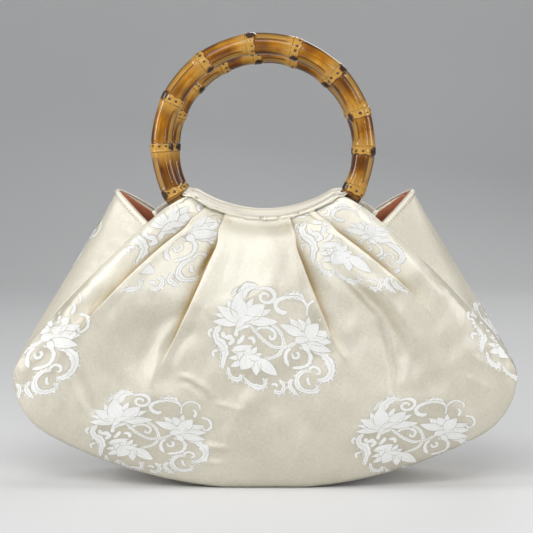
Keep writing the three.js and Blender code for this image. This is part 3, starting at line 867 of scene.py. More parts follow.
def strip_half(base_v, side_v, inset):
    """Front seam, crease, half depth and sharpness of the right half, from under the bag to the mouth."""
    low = lower_edge(base_v, inset)
    step = 0.002
    ahead = unit(lower_edge(np.minimum(base_v + step, 1), inset) - lower_edge(base_v - step, inset))
    drop = (CREASE_LIFT * ease(base_v, 0.35, 1))[:, None]
    crease = low + drop * np.stack([ahead[:, 1], -ahead[:, 0]], -1)
    crease[:, 1] = np.maximum(crease[:, 1], inset)
    seam = np.concatenate([low, side_line(SIDE_SEAM, side_v, inset)])
    crease = np.concatenate([crease, side_line(SIDE_CREASE, side_v, inset)])
    depth = np.concatenate([np.full(len(base_v), float(seam_depth(0.0))), seam_depth(side_v)])
    sharp = np.concatenate([np.full(len(base_v), 2.0), mix(2, 1.25, side_v)])
    return seam, crease, depth, sharp


def strip_face(base_v, side_v, across, inset, narrow):
    """The strip from the left mouth to the right one; columns go from the front seam to the back."""
    seam, crease, depth, sharp = strip_half(base_v, side_v, inset)
    blunt = np.sqrt(across**2 + CREASE_ROUND**2) - CREASE_ROUND
    blunt = blunt / (math.hypot(1, CREASE_ROUND) - CREASE_ROUND)
    out = 1 - blunt[None, :] ** sharp[:, None]
    p = seam[:, None] + (crease - seam)[:, None] * out[..., None]
    y = across[None, :] * (depth - narrow)[:, None]
    right = np.stack([p[..., 0], y, p[..., 1]], -1)
    left = (right * (-1, 1, 1))[:0:-1]
    return np.concatenate([left, right])


BASE_STOPS = np.linspace(0, 1, 70)
SIDE_LENGTH = 132
HEM_ROWS = np.array([5.4, 4.8, 4.2, 3.6, 3.0, 2.4, 1.8, 1.2, 0.6, 0.0])  # mm below the mouth's edge
HEM_STITCH = 6  # the row of the topstitching, counted from the edge
SIDE_STOPS = np.r_[np.linspace(0, 1 - 6.4 / SIDE_LENGTH, 52)[1:], 1 - HEM_ROWS / SIDE_LENGTH]
EVEN_ACROSS = np.linspace(-1, 1, 45)
STRIP_ACROSS = np.sin(EVEN_ACROSS * math.pi / 2) * 0.35 + EVEN_ACROSS * 0.65  # closer at the seams
GUSSET_CLOTH = 1.3
GUSSET_NARROW = SILK + 0.12  # its edges stop this far inside the panels' depth
SEAM_GATHER = 0.2  # height of the ripples beside the seams
SLACK = 0.35  # height of the slow waves between them
HEM_HIGH = 3.1  # the turned hem, from the edge down
MOUTH_HEIGHTS = (165, 184)  # the mouth's apex rises between these heights
APEX_RISE = 1.6


def strip_relief(face, run, below_edge):
    """Ripples beside the seams, slow waves between them, the rolled hem and its gathers."""
    edge = np.abs(STRIP_ACROSS)
    near_seam = ease(edge, 0.72, 0.9) * (1 - ease(edge, 0.93, 1))
    ripple = SEAM_GATHER * uneven_ripple(run, 1.5, 1.2, 9) * coming_and_going(run, 21)
    slack = SLACK * soft_waves(run[:, None], (STRIP_ACROSS * 38)[None, :], 38, 8) * (1 - edge**6)
    pucker = (ripple[:, None] * near_seam[None, :] + slack) * ease(face[..., 2], 1.0, 9.0)
    roll = np.sin(math.pi * np.clip(below_edge / HEM_HIGH, 0, 1)) ** 0.7 - 0.5 * bell(below_edge - 3.6, 0.6)
    gathers = 0.2 * np.sin(STRIP_ACROSS * 62)[None, :] * bell(below_edge - 4.6, 1.6)[:, None]
    return pucker + roll[:, None] + gathers


gusset_face = strip_face(BASE_STOPS, SIDE_STOPS, STRIP_ACROSS, 0, GUSSET_NARROW)
gusset_face[..., 2] += APEX_RISE * ease(gusset_face[..., 2], *MOUTH_HEIGHTS)
strip_run = run_along(gusset_face[:, len(STRIP_ACROSS) // 2])
below_edge = np.minimum(strip_run, strip_run[-1] - strip_run)
relief = strip_relief(gusset_face, strip_run, below_edge)
gusset_face = drawn_in(gusset_face + relief[..., None] * grid_normals(gusset_face))
gusset = sew_wall("gusset_silk", gusset_face, GUSSET_CLOTH, IVORY)
# painted light: the strip is drawn paler, most of all at the hem's rolled edge
gusset_painted_light = 0.4 + 1.2 * (1 - ease(below_edge, 3, 4))  # most of all at the hem
mark_cloth(gusset, "dull_and_painted_light", np.broadcast_to(-gusset_painted_light[:, None], gusset_face.shape[:2]))
back_face = drawn_in(mirrored(front_face))
back_panel = sew_wall("back_panel_silk", back_face, PANEL_CLOTH, IVORY)
mark_cloth(back_panel, "fold_shade", fold_shade_grid[:, ::-1])
print(f"the strip is {strip_run[-1]:.0f} mm long")

# %% [markdown]
# ## The lining
# The satin lining shows only at the two ends of the mouth, a little below the hem. It is one sheet that
# goes from the front upper edge down to the seam, across the strip and up the back, loose enough to
# keep soft folds.

# %% The satin lining
LINING_INSET = 1.7  # from the strip's outer side
LINING_BEHIND = 9.6  # from the panels' smooth form
LINING_SHORTEN = 0.003  # share of the side's length that it stops short of the mouth
LINING_RISE = 1.5  # at the mouth's apex
LINING_CLOTH = 0.6
LINING_FOLDS = 1.5  # depth of its soft folds
LINING_STEP = 0.01  # shares of the height tried one by one for its upper edge
LINING_TOP = 81.5  # radius of its upper edge about the ring's middle
END_PLACE = {"mouth": 0.2, "corner": 1.0}


def lining_front(place_from, v_from, place_to, shares):
    """Points from the seam to the upper edge, for one stop along the strip."""
    v_to = UNDER_LIP
    while True:
        top = smooth_panel([place_to], [v_to], LINING_INSET)[0, 0]
        if math.hypot(top[0], top[2] - RING["z"]) >= LINING_TOP:
            break
        v_to -= LINING_STEP
    places = mix(place_from, place_to, shares)
    heights = mix(v_from, v_to, shares)
    points = np.array([smooth_panel([p], [h], LINING_INSET)[0, 0] for p, h in zip(places, heights)])
    return points * (1, -1, 1) + (0, LINING_BEHIND, 0)


def lining_face(base_v, side_v, across, up):
    strip = strip_face(base_v, side_v, across, LINING_INSET, LINING_BEHIND)
    half = len(base_v) + len(side_v)
    rows = []
    for k, line in enumerate(strip):
        side = 1 if k >= half - 1 else -1
        stop = k - (half - 1) if side > 0 else (half - 1) - k
        on_side = stop >= len(base_v)
        v = side_v[stop - len(base_v)] if on_side else base_v[stop]
        corner, mouth = END_PLACE["corner"], END_PLACE["mouth"]
        from_left = mix(corner, mouth, v) if on_side else mix(LAST / 2, corner, v)
        place_to = from_left if side < 0 else LAST - from_left
        if on_side:
            place_from = 0.0 if side < 0 else float(LAST)
        else:
            place_from = float(np.interp(side * v, FEET, np.arange(LAST + 1)))
        front = lining_front(place_from, v if on_side else 0.0, place_to, up)
        rows.append(np.concatenate([front, line, (front * (1, -1, 1))[::-1]]))
    return np.array(rows)


LINING_BASE = np.linspace(0, 1, 16)
LINING_SIDE = np.linspace(0, 1, 26)[1:] * (1 - LINING_SHORTEN)
satin_face = lining_face(LINING_BASE, LINING_SIDE, np.linspace(-1, 1, 13), np.linspace(1, 0.08, 12))
loose = soft_waves(satin_face[..., 0] * 1.4 + satin_face[..., 1] * 0.6, satin_face[..., 2], 15, 4)
inwards = -LINING_FOLDS * (0.55 + 0.45 * loose) * ease(satin_face[..., 2], 8, 30)
satin_face = satin_face + inwards[..., None] * grid_normals(satin_face)
satin_face[..., 2] += LINING_RISE * ease(satin_face[..., 2], *MOUTH_HEIGHTS)
satin_face = drawn_in(satin_face)
lining = sew_wall("lining_satin", satin_face, LINING_CLOTH, TERRACOTTA)

# %% [markdown]
# ## The bands that hold the rings
# Each panel is gathered into a curved band. The band folds over the panel's upper edge as a narrow lip,
# passes behind the ring and turns under it, so that the ring lies in a tunnel. One cross section is
# swept along the curve, and its lip waves a little, as a hand-sewn edge does.

# %% Front and back bands
BAND = {"x": 45, "dip": 14.2, "top": 184, "lip": 1.0}
TUNNEL_END = math.radians(59.5)
LIP_END = math.radians(51)  # the lip runs out before the band does
BAND_CLOTH = 1.0
BAND_ROWS = 97  # sections along the curve
BAND_COLUMNS = 48  # points of each section
BACK_RAISED = 2.0  # the back band shows above the front one
BAND_PAINTED_LIGHT = -1.2  # painted highlight: the bands' silk is drawn paler than the panels'


def band_distance(a):
    """From the ring's middle to the band's upper edge, along a ray at angle a from straight down."""
    radius = (BAND["x"] ** 2 + BAND["dip"] ** 2) / (2 * BAND["dip"])
    above = BAND["top"] - BAND["dip"] + radius - RING["z"]
    return -above * np.cos(a) + np.sqrt((above * np.cos(a)) ** 2 + radius**2 - above**2)


def band_section(a, raised):
    """Corner points (distance from the ring's middle, depth) of the strip at one angle."""
    end = float(ease(abs(a) / TUNNEL_END, 0.35, 1))
    corner = float(ease(abs(a), TUNNEL_END - math.radians(6), TUNNEL_END))
    top = float(band_distance(a)) - 0.7 * end + 1.0 + 3.0 * corner**2 - raised * (1 - end)
    lip = BAND["lip"] * (1 - 0.8 * float(ease(abs(a), LIP_END, TUNNEL_END)))
    front = mix(27.0, 37.4, end)
    behind = RING["y"] - CANE_RADIUS - KNOT_SWELL - GAP - 1.2
    wave = 0.45 * math.sin(a * 23) + 0.3 * math.sin(a * 51 + 1)
    return np.array([
        (top + lip + wave, front - 0.1),
        (top + lip * 0.6 + wave / 2, front + 0.1),
        (top + 0.4, front),
        (top, front - 0.9),
        (top, mix(21.6, 20.2, end)),
        (top + 1, mix(20.4, 19, end)),
        (mix(54, 57, end), behind + 0.4),
        (63, behind),
        (72, behind),
        (77, behind + 3),
        (80, behind + 9),
        (82.2, mix(35.4, 26, end)),
    ])


def smooth_line(points, count):
    """A smooth open curve through points, read at even steps."""
    points = np.asarray(points, float)
    places = np.linspace(0, len(points) - 1, count)
    return through_stations(points[None], places)[0]


def band_face(raised):
    """The strip's grid; raised: how far its upper edge is pulled up at the middle."""
    face = []
    for a in np.linspace(-TUNNEL_END, TUNNEL_END, BAND_ROWS):
        line = smooth_line(band_section(a, raised), BAND_COLUMNS)
        rho, depth = line[:, 0], line[:, 1]
        face.append(np.stack([rho * math.sin(a), -depth, RING["z"] - rho * math.cos(a)], -1))
    return np.array(face)


sewn_band = band_face(0.0)
front_band = sew_wall("front_band_silk", sewn_band, BAND_CLOTH, IVORY)
back_band = sew_wall("back_band_silk", mirrored(band_face(BACK_RAISED)), BAND_CLOTH, IVORY)
# painted highlight: both bands are drawn paler
for band in (front_band, back_band):
    mark_cloth(band, "dull_and_painted_light", np.full(sewn_band.shape[:2], BAND_PAINTED_LIGHT))

# %% [markdown]
# ## Bamboo
# Each ring is a steamed length of root bamboo, lacquered. Towards a knot the cane flares, then comes a
# tan band with root dots between two crisp lines, and a slightly thinner cane beyond. On one side of each
# knot is a black bud scar, with a shallow channel along the cane after it. These marks follow the knots,
# so the mesh stores them as attributes, and the material only adds streaks and lacquer. The attributes
# also hold painted light: a painted highlight in each channel, painted shade on its rims and along the
# cane's sides, and a painted shadow where the cane goes into the cloth.

# %% Bamboo material
CANE_TONES = [
    # place on the ramp, colour: from scorched brown to straw
    (0.36, (0.07, 0.018, 0.001)),
    (0.44, (0.25, 0.085, 0.003)),
    (0.53, (0.42, 0.165, 0.003)),
    (0.62, (0.57, 0.29, 0.03)),
]
LACQUER = {"Specular IOR Level": 0.1, "Coat Weight": 0.65, "Coat Roughness": 0.04, "Coat IOR": 1.42}
FLECKED_FROM = 0.66  # noise above this is a fleck
FLECK_STRENGTH = 0.35


def ramp_of(tree, share, stops):
    """A colour from a ramp with stops of (place, colour)."""
    node = tree.nodes.new("ShaderNodeValToRGB")
    elements = node.color_ramp.elements  # a new ramp has two
    for k, (place, colour) in enumerate(stops):
        stop = elements[k] if k < 2 else elements.new(place)
        stop.position = place
        stop.color = (*colour, 1)
    tree.links.new(share, socket(node, "Fac"))
    return out_of(node, "Color")


def bamboo_material():
    material, tree, shader = new_material("lacquered_bamboo")
    vector = cloth_vector(tree)
    streaks = stretched_noise(tree, vector, (28, 420, 1), 4)
    clouds = stretched_noise(tree, vector, (55, 75, 1), 3)
    flecks = stretched_noise(tree, vector, (330, 500, 1), 2)
    tone = times_plus(tree, streaks, 0.45, math_node(tree, "MULTIPLY", clouds, 0.55))
    colour = ramp_of(tree, tone, CANE_TONES)
    flecked = math_node(tree, "GREATER_THAN", flecks, FLECKED_FROM)
    marks = [
        # scorched stretches after the knots, with painted shade along the cane's sides
        (mark_of(tree, "scorch_and_painted_side_shade"), (0.075, 0.022, 0.002)),
        # tan bands and flares, with a painted highlight in each channel
        (mark_of(tree, "tan_and_painted_highlight"), (0.5, 0.28, 0.055)),
        (math_node(tree, "MULTIPLY", flecked, FLECK_STRENGTH), (0.2, 0.08, 0.02)),
        # black lines and scars, with painted shade on the channel rims and a painted shadow at the cloth
        (mark_of(tree, "dark_lines_and_painted_shade"), (0.035, 0.016, 0.008)),
    ]
    for mask, shade in marks:
        colour = mix_colours(tree, mask, colour, shade)
    tree.links.new(colour, socket(shader, "Base Color"))
    tree.links.new(times_plus(tree, streaks, 0.18, 0.24), socket(shader, "Roughness"))
    bump_from(tree, shader, streaks, 0.15, 0.0004)
    set_sockets(shader, LACQUER)
    return material


BAMBOO = bamboo_material()
print(f"bamboo with {len(CANE_TONES)} tones")

# %% [markdown]
# The cane itself is a grid: sections along the ring, close together at the knots, and points round each
# section. Distances are measured clockwise from each knot, seen from the front, because the crisp line
# and the bud channel are on that side.

# %% Front and back rings
FRONT_KNOTS = [-103, -78, -51, -26, -3, 18, 44, 71, 97, 125, 153, 181, 207, 232]
BACK_KNOTS = [-116, -92, -69, -46, -23, -1, 23, 48, 72, 95, 116, 137, 157, 178, 204, 230]
DEGREE = math.radians(1) * CANE_LINE  # one degree of the ring, along the cane's middle line
CANE_SIDES = 44
BETWEEN_KNOTS = 19  # sections between two knots
AT_KNOT = np.r_[-5.5, -4.4, -3.8, np.linspace(-3.4, 3.6, 29), 4.2, 5, 6]  # sections at a knot, clockwise
BUD = {"outer": math.radians(-38), "inner": math.radians(-150)}  # where a bud sits round the cane
FLARE = 0.42  # how far the cane flares to a knot
FLARE_END = -2.4  # where it is widest, counted from the knot
KNOT_LINES = [
    # distance from the knot, reach, height: the crisp line, the groove before it and the neck after it
    (-2.3, 0.4, 0.28),
    (-3.0, 0.25, -0.2),
    (2.9, 0.6, -0.16),
]
CHANNEL_DEPTH = 0.75
SCAR_HEIGHT = 0.45
HORN_HEIGHT = 0.7  # the tip of the bud
# a painted shadow darkens the cane at these places
TUNNEL_MOUTHS = [211.2, -30.8]  # where the cane goes into the cloth, in degrees
SCORCH = [0.5, 0.45, 0.1, 0.15, 0.1, 0.6, 0.2, 0.5, 0.1, 0.5]  # darker stretches after each knot, in turn


def cane_sections(knots):
    """Every section's angle, its clockwise distance from the nearest knot, and the knot and next knot."""
    angles, distance, owner = [], [], []
    count = len(knots)
    for i in range(count):
        here = knots[-1 - i]
        after = knots[-2 - i] if i + 1 < count else knots[-1] - 360
        length = (here - after) * DEGREE
        between = np.linspace(AT_KNOT[-1], length + AT_KNOT[0], BETWEEN_KNOTS + 2)[1:-1]
        for d in np.r_[AT_KNOT, between]:
            angles.append(here - d / DEGREE)
            distance.append((d, length))
            owner.append(i)
    return np.array(angles), np.array(distance), np.array(owner)


def cane_grid(knots):
    """Measures of every point of a cane, which its shape and its marks are both worked out from."""
    angles, spans, owner = cane_sections(knots)
    g = SimpleNamespace(angles=angles, d=spans[:, :1], length=spans[:, 1:], owner=owner[:, None])
    g.b = (np.arange(CANE_SIDES) * 2 * math.pi / CANE_SIDES)[None, :]
    before = g.d - g.length  # distance to the knot that follows, which is below 0
    g.near = np.where(np.abs(g.d) < np.abs(before), g.d, before)
    g.scallop = 2.2 + 0.35 * np.cos(8 * g.b + g.owner * 1.7)
    bud = np.where(g.owner % 2 == 1, BUD["outer"], BUD["inner"])  # buds change sides from knot to knot
    g.turn = np.abs((g.b - bud + math.pi) % (2 * math.pi) - math.pi)
    g.bed = ease(g.d, 2.6, 4.5) * (1 - ease(g.d, g.length - 9, g.length - 3))
    g.channel = (1 - ease(g.turn, 0.34, 0.5)) * g.bed
    g.scar = bell(g.turn * CANE_RADIUS, 3.3) * bell(g.d - 0.2, 3.2)
    return g


def cane_radius(g):
    """The cane flares to a knot with a crisp line, and has a neck, a bud and a channel after it."""
    radius = CANE_RADIUS - 0.25 * ease(np.abs(g.near), 2, 12)
    radius = radius + FLARE * np.exp(-np.maximum(FLARE_END - g.near, 0) / 2.2) * (g.near < FLARE_END)
    radius = radius + FLARE * (g.near >= FLARE_END) * (1 - ease(g.near, g.scallop - 0.2, g.scallop + 0.3))
    for place, reach, height in KNOT_LINES:
        radius = radius + height * bell(g.near - place, reach)
    horn = bell(g.turn * CANE_RADIUS, 0.9) * bell(g.d - 3.2, 1.0)
    return radius - CHANNEL_DEPTH * g.channel + SCAR_HEIGHT * g.scar + HORN_HEIGHT * horn


def largest(*masks):
    return functools.reduce(np.maximum, masks)


def cane_marks(g):
    """Masks for the material: tan bands and paler channels, black lines and scars, and scorched stretches;
    the channels' paler tone is a painted highlight, and painted shade falls on the channel rims and the
    cane's sides, with a painted shadow where the cane goes into the cloth.
    """
    band = ease(g.near, -3.0, -2.3) * (1 - ease(g.near, g.scallop - 0.2, g.scallop + 0.1))
    flare = 0.7 * ease(g.near, -13, -3) * (g.near < 0)
    lines = largest(0.75 * bell(g.near - g.scallop - 0.15, 0.28), 0.55 * bell(g.near + 2.9, 0.2))
    # painted shade along the channel's edges
    channel_rim_painted_shade = 0.9 * bell(g.turn - 0.46, 0.08) * g.bed
    # painted shadow where the cane goes into the cloth
    mouth = np.min([np.abs(g.angles - end) for end in TUNNEL_MOUTHS], axis=0)[:, None] * DEGREE
    # painted shade: the cane is darker towards its sides, away from the front and back
    side = np.minimum(np.abs(g.b - math.pi / 2), np.abs(g.b - 3 * math.pi / 2))  # away from front or back
    scorched = np.take(SCORCH, g.owner, mode="wrap") * (0.6 + 0.4 * np.cos(g.b - 0.6 + g.owner))
    scorch_and_painted_side_shade = (0.75 * ease(side, 0.55, 1.3) + 0.4 * bell(g.near - 7, 6) + scorched) * (1 - 0.8 * band)
    return {
        # painted highlight: the channel is drawn paler than the cane
        "tan_and_painted_highlight": largest(band * 0.85, flare, g.channel * 0.6),
        "dark_lines_and_painted_shade": largest(lines, channel_rim_painted_shade, ease(g.scar, 0.3, 0.6), 0.9 * bell(mouth, 1.1)),
        "scorch_and_painted_side_shade": np.clip(scorch_and_painted_side_shade, 0, 1),
    }


def cane(name, knots, middle):
    """A closed ring of bamboo round its middle point."""
    g = cane_grid(knots)
    radius = cane_radius(g)
    a = np.radians(g.angles)[:, None]
    rho = CANE_LINE + radius * np.cos(g.b)
    points = np.stack([rho * np.cos(a), radius * np.sin(g.b), rho * np.sin(a)], -1) + middle
    ids = np.arange(radius.size).reshape(radius.shape)
    on = np.roll(ids, -1, axis=0)
    quads = np.stack([ids, np.roll(ids, -1, 1), np.roll(on, -1, 1), on], -1).reshape(-1, 4)[:, ::-1]
    along = np.unwrap(np.radians(g.angles))[:, None] * -CANE_LINE
    uvs = np.stack(np.broadcast_arrays(along, CANE_RADIUS * np.abs(g.b - math.pi)), -1)
    piece = new_piece(name, points.reshape(-1, 3), quads, uvs.reshape(-1, 2), BAMBOO)
    for label, values in cane_marks(g).items():
        write_marks(piece, label, np.broadcast_to(values, radius.shape))
    print(f"{name}: {len(knots)} knots, {len(quads)} faces")
    return piece


FRONT_MIDDLE = (RING["x"], -RING["y"], RING["z"])
BACK_MIDDLE = (RING["x"] + BACK_RING["shift"], RING["y"], RING["z"] - BACK_RING["drop"])
front_ring = cane("front_bamboo_ring", FRONT_KNOTS, FRONT_MIDDLE)
back_ring = cane("back_bamboo_ring", BACK_KNOTS, BACK_MIDDLE)

# %% [markdown]
# ## Root dots
# Every knot's tan band carries a row of small dark dots, where roots once started. They repeat round
# every knot, so Geometry Nodes sets a flattened bead on each of a list of points. The tree has named
# inputs for the dot's size and height and a fixed seed, and its result is made a plain mesh.

# %% A Geometry Nodes tree for dots


def new_tree(name, sizes):
    """A Geometry Nodes tree with a geometry input and named sizes; returns it with its end nodes."""
    tree = bpy.data.node_groups.new(name, "GeometryNodeTree")
    tree.interface.new_socket("Geometry", in_out="INPUT", socket_type="NodeSocketGeometry")
    for label in sizes:
        tree.interface.new_socket(label, in_out="INPUT", socket_type="NodeSocketFloat")
    tree.interface.new_socket("Geometry", in_out="OUTPUT", socket_type="NodeSocketGeometry")
    return tree, tree.nodes.new("NodeGroupInput"), tree.nodes.new("NodeGroupOutput")


def link_to(tree, node, sources):
    """Links sockets to a node's named inputs."""
    for label, source in sources.items():
        tree.links.new(source, socket(node, label))


def finish_tree(tree, instances, made, material):
    """The last steps of every tree: real geometry with its material."""
    real = tree.nodes.new("GeometryNodeRealizeInstances")
    paint = tree.nodes.new("GeometryNodeSetMaterial")
    socket(paint, "Material").default_value = material
    tree.links.new(instances, real.inputs[0])
    tree.links.new(real.outputs[0], socket(paint, "Geometry"))
    tree.links.new(paint.outputs[0], made.inputs[0])


def bead_nodes(tree, given, across, along, high):
    """A small bead of few faces, sized by three of the tree's inputs."""
    bead = tree.nodes.new("GeometryNodeMeshUVSphere")
    set_sockets(bead, {"Segments": 8, "Rings": 5, "Radius": 0.5})
    size = tree.nodes.new("ShaderNodeCombineXYZ")
    for slot, label in zip(size.inputs, (along, across, high)):
        tree.links.new(out_of(given, label), slot)
    shape = tree.nodes.new("GeometryNodeTransform")
    link_to(tree, shape, {"Geometry": bead.outputs[0], "Scale": size.outputs[0]})
    return shape.outputs[0]


def run_tree(piece, tree, values):
    """Sets a tree's sizes on an object, evaluates it, and leaves its result as a plain mesh."""
    modifier = piece.modifiers.new(tree.name, "NODES")
    modifier.node_group = tree
    for entry in tree.interface.items_tree:
        if entry.in_out == "INPUT" and entry.name in values:
            modifier[entry.identifier] = values[entry.name]
    graph = bpy.context.evaluated_depsgraph_get()
    mesh = bpy.data.meshes.new_from_object(piece.evaluated_get(graph))
    piece.modifiers.clear()
    piece.data = mesh
    mesh.name = piece.name
    mesh.shade_smooth()
    return piece


def points_object(name, points, outwards):
    """Loose points in millimetres with the way that each one faces."""
    mesh = bpy.data.meshes.new(name)
    mesh.from_pydata((np.asarray(points) * MM).tolist(), [], [])
    layer = mesh.attributes.new("outwards", "FLOAT_VECTOR", "POINT")
    layer.data.foreach_set("vector", np.asarray(outwards, np.float32).ravel())
    return place_object(name, mesh)


DOT_SCALES = (0.65, 1.15)  # smallest and largest share of a dot's size
DOT_SEED = 11


def dots_tree(material):
    """Beads on points, each turned to face outwards and scaled at random."""
    tree, given, made = new_tree("root_dots", ("Width", "Length", "Height"))
    bead = bead_nodes(tree, given, "Width", "Length", "Height")
    facing = tree.nodes.new("GeometryNodeInputNamedAttribute")
    facing.data_type = "FLOAT_VECTOR"
    socket(facing, "Name").default_value = "outwards"
    turn = tree.nodes.new("FunctionNodeAlignRotationToVector")
    turn.axis = "Z"
    tree.links.new(facing.outputs[0], socket(turn, "Vector"))
    vary = tree.nodes.new("FunctionNodeRandomValue")
    vary.data_type = "FLOAT"
    vary.inputs[2].default_value, vary.inputs[3].default_value = DOT_SCALES
    set_sockets(vary, {"Seed": DOT_SEED})
    place = tree.nodes.new("GeometryNodeInstanceOnPoints")
    link_to(tree, place, {"Points": given.outputs[0], "Instance": bead, "Rotation": turn.outputs[0]})
    tree.links.new(vary.outputs[1], socket(place, "Scale"))
    finish_tree(tree, place.outputs[0], made, material)
    return tree


# %% Dots on both rings


def speckled_material(name, scale, detail, stops):
    """A colour that follows a fine noise; the nodes come with it, so that more can be added."""
    material, tree, shader = new_material(name)
    place = tree.nodes.new("ShaderNodeTexCoord")
    grain = stretched_noise(tree, out_of(place, "Object"), (scale, scale, scale), detail)
    tree.links.new(ramp_of(tree, grain, stops), socket(shader, "Base Color"))
    return material, tree, shader, grain


DOT_TONES = [(0.35, (0.02, 0.009, 0.005)), (0.75, (0.16, 0.075, 0.03))]
SCORCHED, dot_nodes, dot_shader, dot_grain = speckled_material("scorched_root_dot", 900, 3, DOT_TONES)
dot_nodes.links.new(times_plus(dot_nodes, dot_grain, 0.3, 0.3), socket(dot_shader, "Roughness"))
ROOT_DOTS = dots_tree(SCORCHED)
DOTS_ROUND = 11
DOT_SIZE = {"Width": 1.9 * MM, "Length": 2.3 * MM, "Height": 0.5 * MM}
DOT_PROUD = 0.38  # a dot's middle, out from the cane's plain radius
BUD_CLEAR = 0.5  # radians on both sides of a bud that have no dots
BAND_HALF = 0.9  # dots stay this close to the middle of their band


def dots_on_ring(name, knots, middle, seed):
    rng = np.random.default_rng(seed)
    points, outwards = [], []
    for i, knot in enumerate(reversed(knots)):
        bud = BUD["outer"] if i % 2 == 1 else BUD["inner"]
        for k in range(DOTS_ROUND):
            b = 2 * math.pi * (k + 0.5 * rng.random()) / DOTS_ROUND + i
            if abs((b - bud + math.pi) % (2 * math.pi) - math.pi) < BUD_CLEAR:
                continue
            a = math.radians(knot - rng.uniform(-BAND_HALF, BAND_HALF) / DEGREE)
            out = np.array([math.cos(b) * math.cos(a), math.sin(b), math.cos(b) * math.sin(a)])
            core = np.array([math.cos(a), 0, math.sin(a)]) * CANE_LINE
            points.append(np.array(middle) + core + out * (CANE_RADIUS + DOT_PROUD))
            outwards.append(out)
    piece = run_tree(points_object(name, points, outwards), ROOT_DOTS, DOT_SIZE)
    print(f"{name}: {len(points)} dots")
    return piece


front_dots = dots_on_ring("front_ring_root_dots", FRONT_KNOTS, FRONT_MIDDLE, 5)
back_dots = dots_on_ring("back_ring_root_dots", BACK_KNOTS, BACK_MIDDLE, 6)

# %% [markdown]
# ## Stitches
# The mouth of the gusset is hemmed with a row of topstitching just below its edge, and the band is tacked
# at the middle. A stitch is a short bead that follows a path, so a second tree turns a path into a curve,
# takes even steps along it, and sets one bead at each step, turned along the thread.

# %% A Geometry Nodes tree for stitches


def stitches_tree(material):
    """Beads at even steps along every path of a mesh."""
    tree, given, made = new_tree("stitches", ("Step", "Stitch length", "Thread width"))
    bead = bead_nodes(tree, given, "Thread width", "Stitch length", "Thread width")
    path = tree.nodes.new("GeometryNodeMeshToCurve")
    steps = tree.nodes.new("GeometryNodeResampleCurve")
    steps.mode = "LENGTH"
    along = tree.nodes.new("GeometryNodeInputTangent")
    turn = tree.nodes.new("FunctionNodeAlignRotationToVector")
    turn.axis = "X"
    place = tree.nodes.new("GeometryNodeInstanceOnPoints")
    link_to(tree, path, {"Mesh": given.outputs[0]})
    link_to(tree, steps, {"Curve": path.outputs[0], "Length": out_of(given, "Step")})
    link_to(tree, turn, {"Vector": along.outputs[0]})
    link_to(tree, place, {"Points": steps.outputs[0], "Instance": bead, "Rotation": turn.outputs[0]})
    finish_tree(tree, place.outputs[0], made, material)
    return tree


STITCHES = stitches_tree(THREAD)


def uv_from_place(mesh):
    """A UV map for thread, which only needs to change from place to place."""
    places = np.zeros(len(mesh.vertices) * 3, np.float32)
    mesh.vertices.foreach_get("co", places)
    x, y, z = places.reshape(-1, 3).T
    write_uvs(mesh, np.stack([x + y, z], -1))


def sew_paths(name, paths, sizes):
    """Stitches along several paths, each a row of points in millimetres."""
    points, edges = [], []
    for path in paths:
        start = len(points)
        points += [tuple(p * MM) for p in np.asarray(path)]
        edges += [(start + k, start + k + 1) for k in range(len(path) - 1)]
    mesh = bpy.data.meshes.new(name)
    mesh.from_pydata(points, edges, [])
    piece = run_tree(place_object(name, mesh), STITCHES, sizes)
    uv_from_place(piece.data)
    print(f"{name}: {len(piece.data.polygons)} faces")
    return piece


# %% Hem and band stitches
HEM_THREAD = {"Step": 2.4 * MM, "Stitch length": 1.7 * MM, "Thread width": 0.6 * MM}
TACK_THREAD = {"Step": 1.6 * MM, "Stitch length": 1.2 * MM, "Thread width": 0.4 * MM}
THREAD_LIFT = 0.1
TACK_ROWS = (45, 47, 49)  # rows of the band's grid, at its middle
outward = grid_normals(gusset_face)
both_sides = (gusset_face + THREAD_LIFT * outward, gusset_face - (GUSSET_CLOTH + THREAD_LIFT) * outward)
hem_paths = [grid[row, 2:-2] for grid in both_sides for row in (HEM_STITCH, -1 - HEM_STITCH)]
hem_stitches = sew_paths("hem_topstitching", hem_paths, HEM_THREAD)
band_outside = sewn_band - (BAND_CLOTH + THREAD_LIFT) * grid_normals(sewn_band)
front_tacks = [band_outside[row, 1:9] for row in TACK_ROWS]
back_tacks = [path * (1, -1, 1) for path in front_tacks]
band_tacks = sew_paths("band_tacks", front_tacks + back_tacks, TACK_THREAD)

# %% [markdown]
# ## The woven figure
# The silk carries a scrolling lotus medallion, a traditional pattern. A weaver would draw it on point
# paper, so it is charted here in paper squares: petals are leaves from a base to a tip, and
# stems, leaves and tendrils are strokes through a few points. Petals nearer the front are listed last.

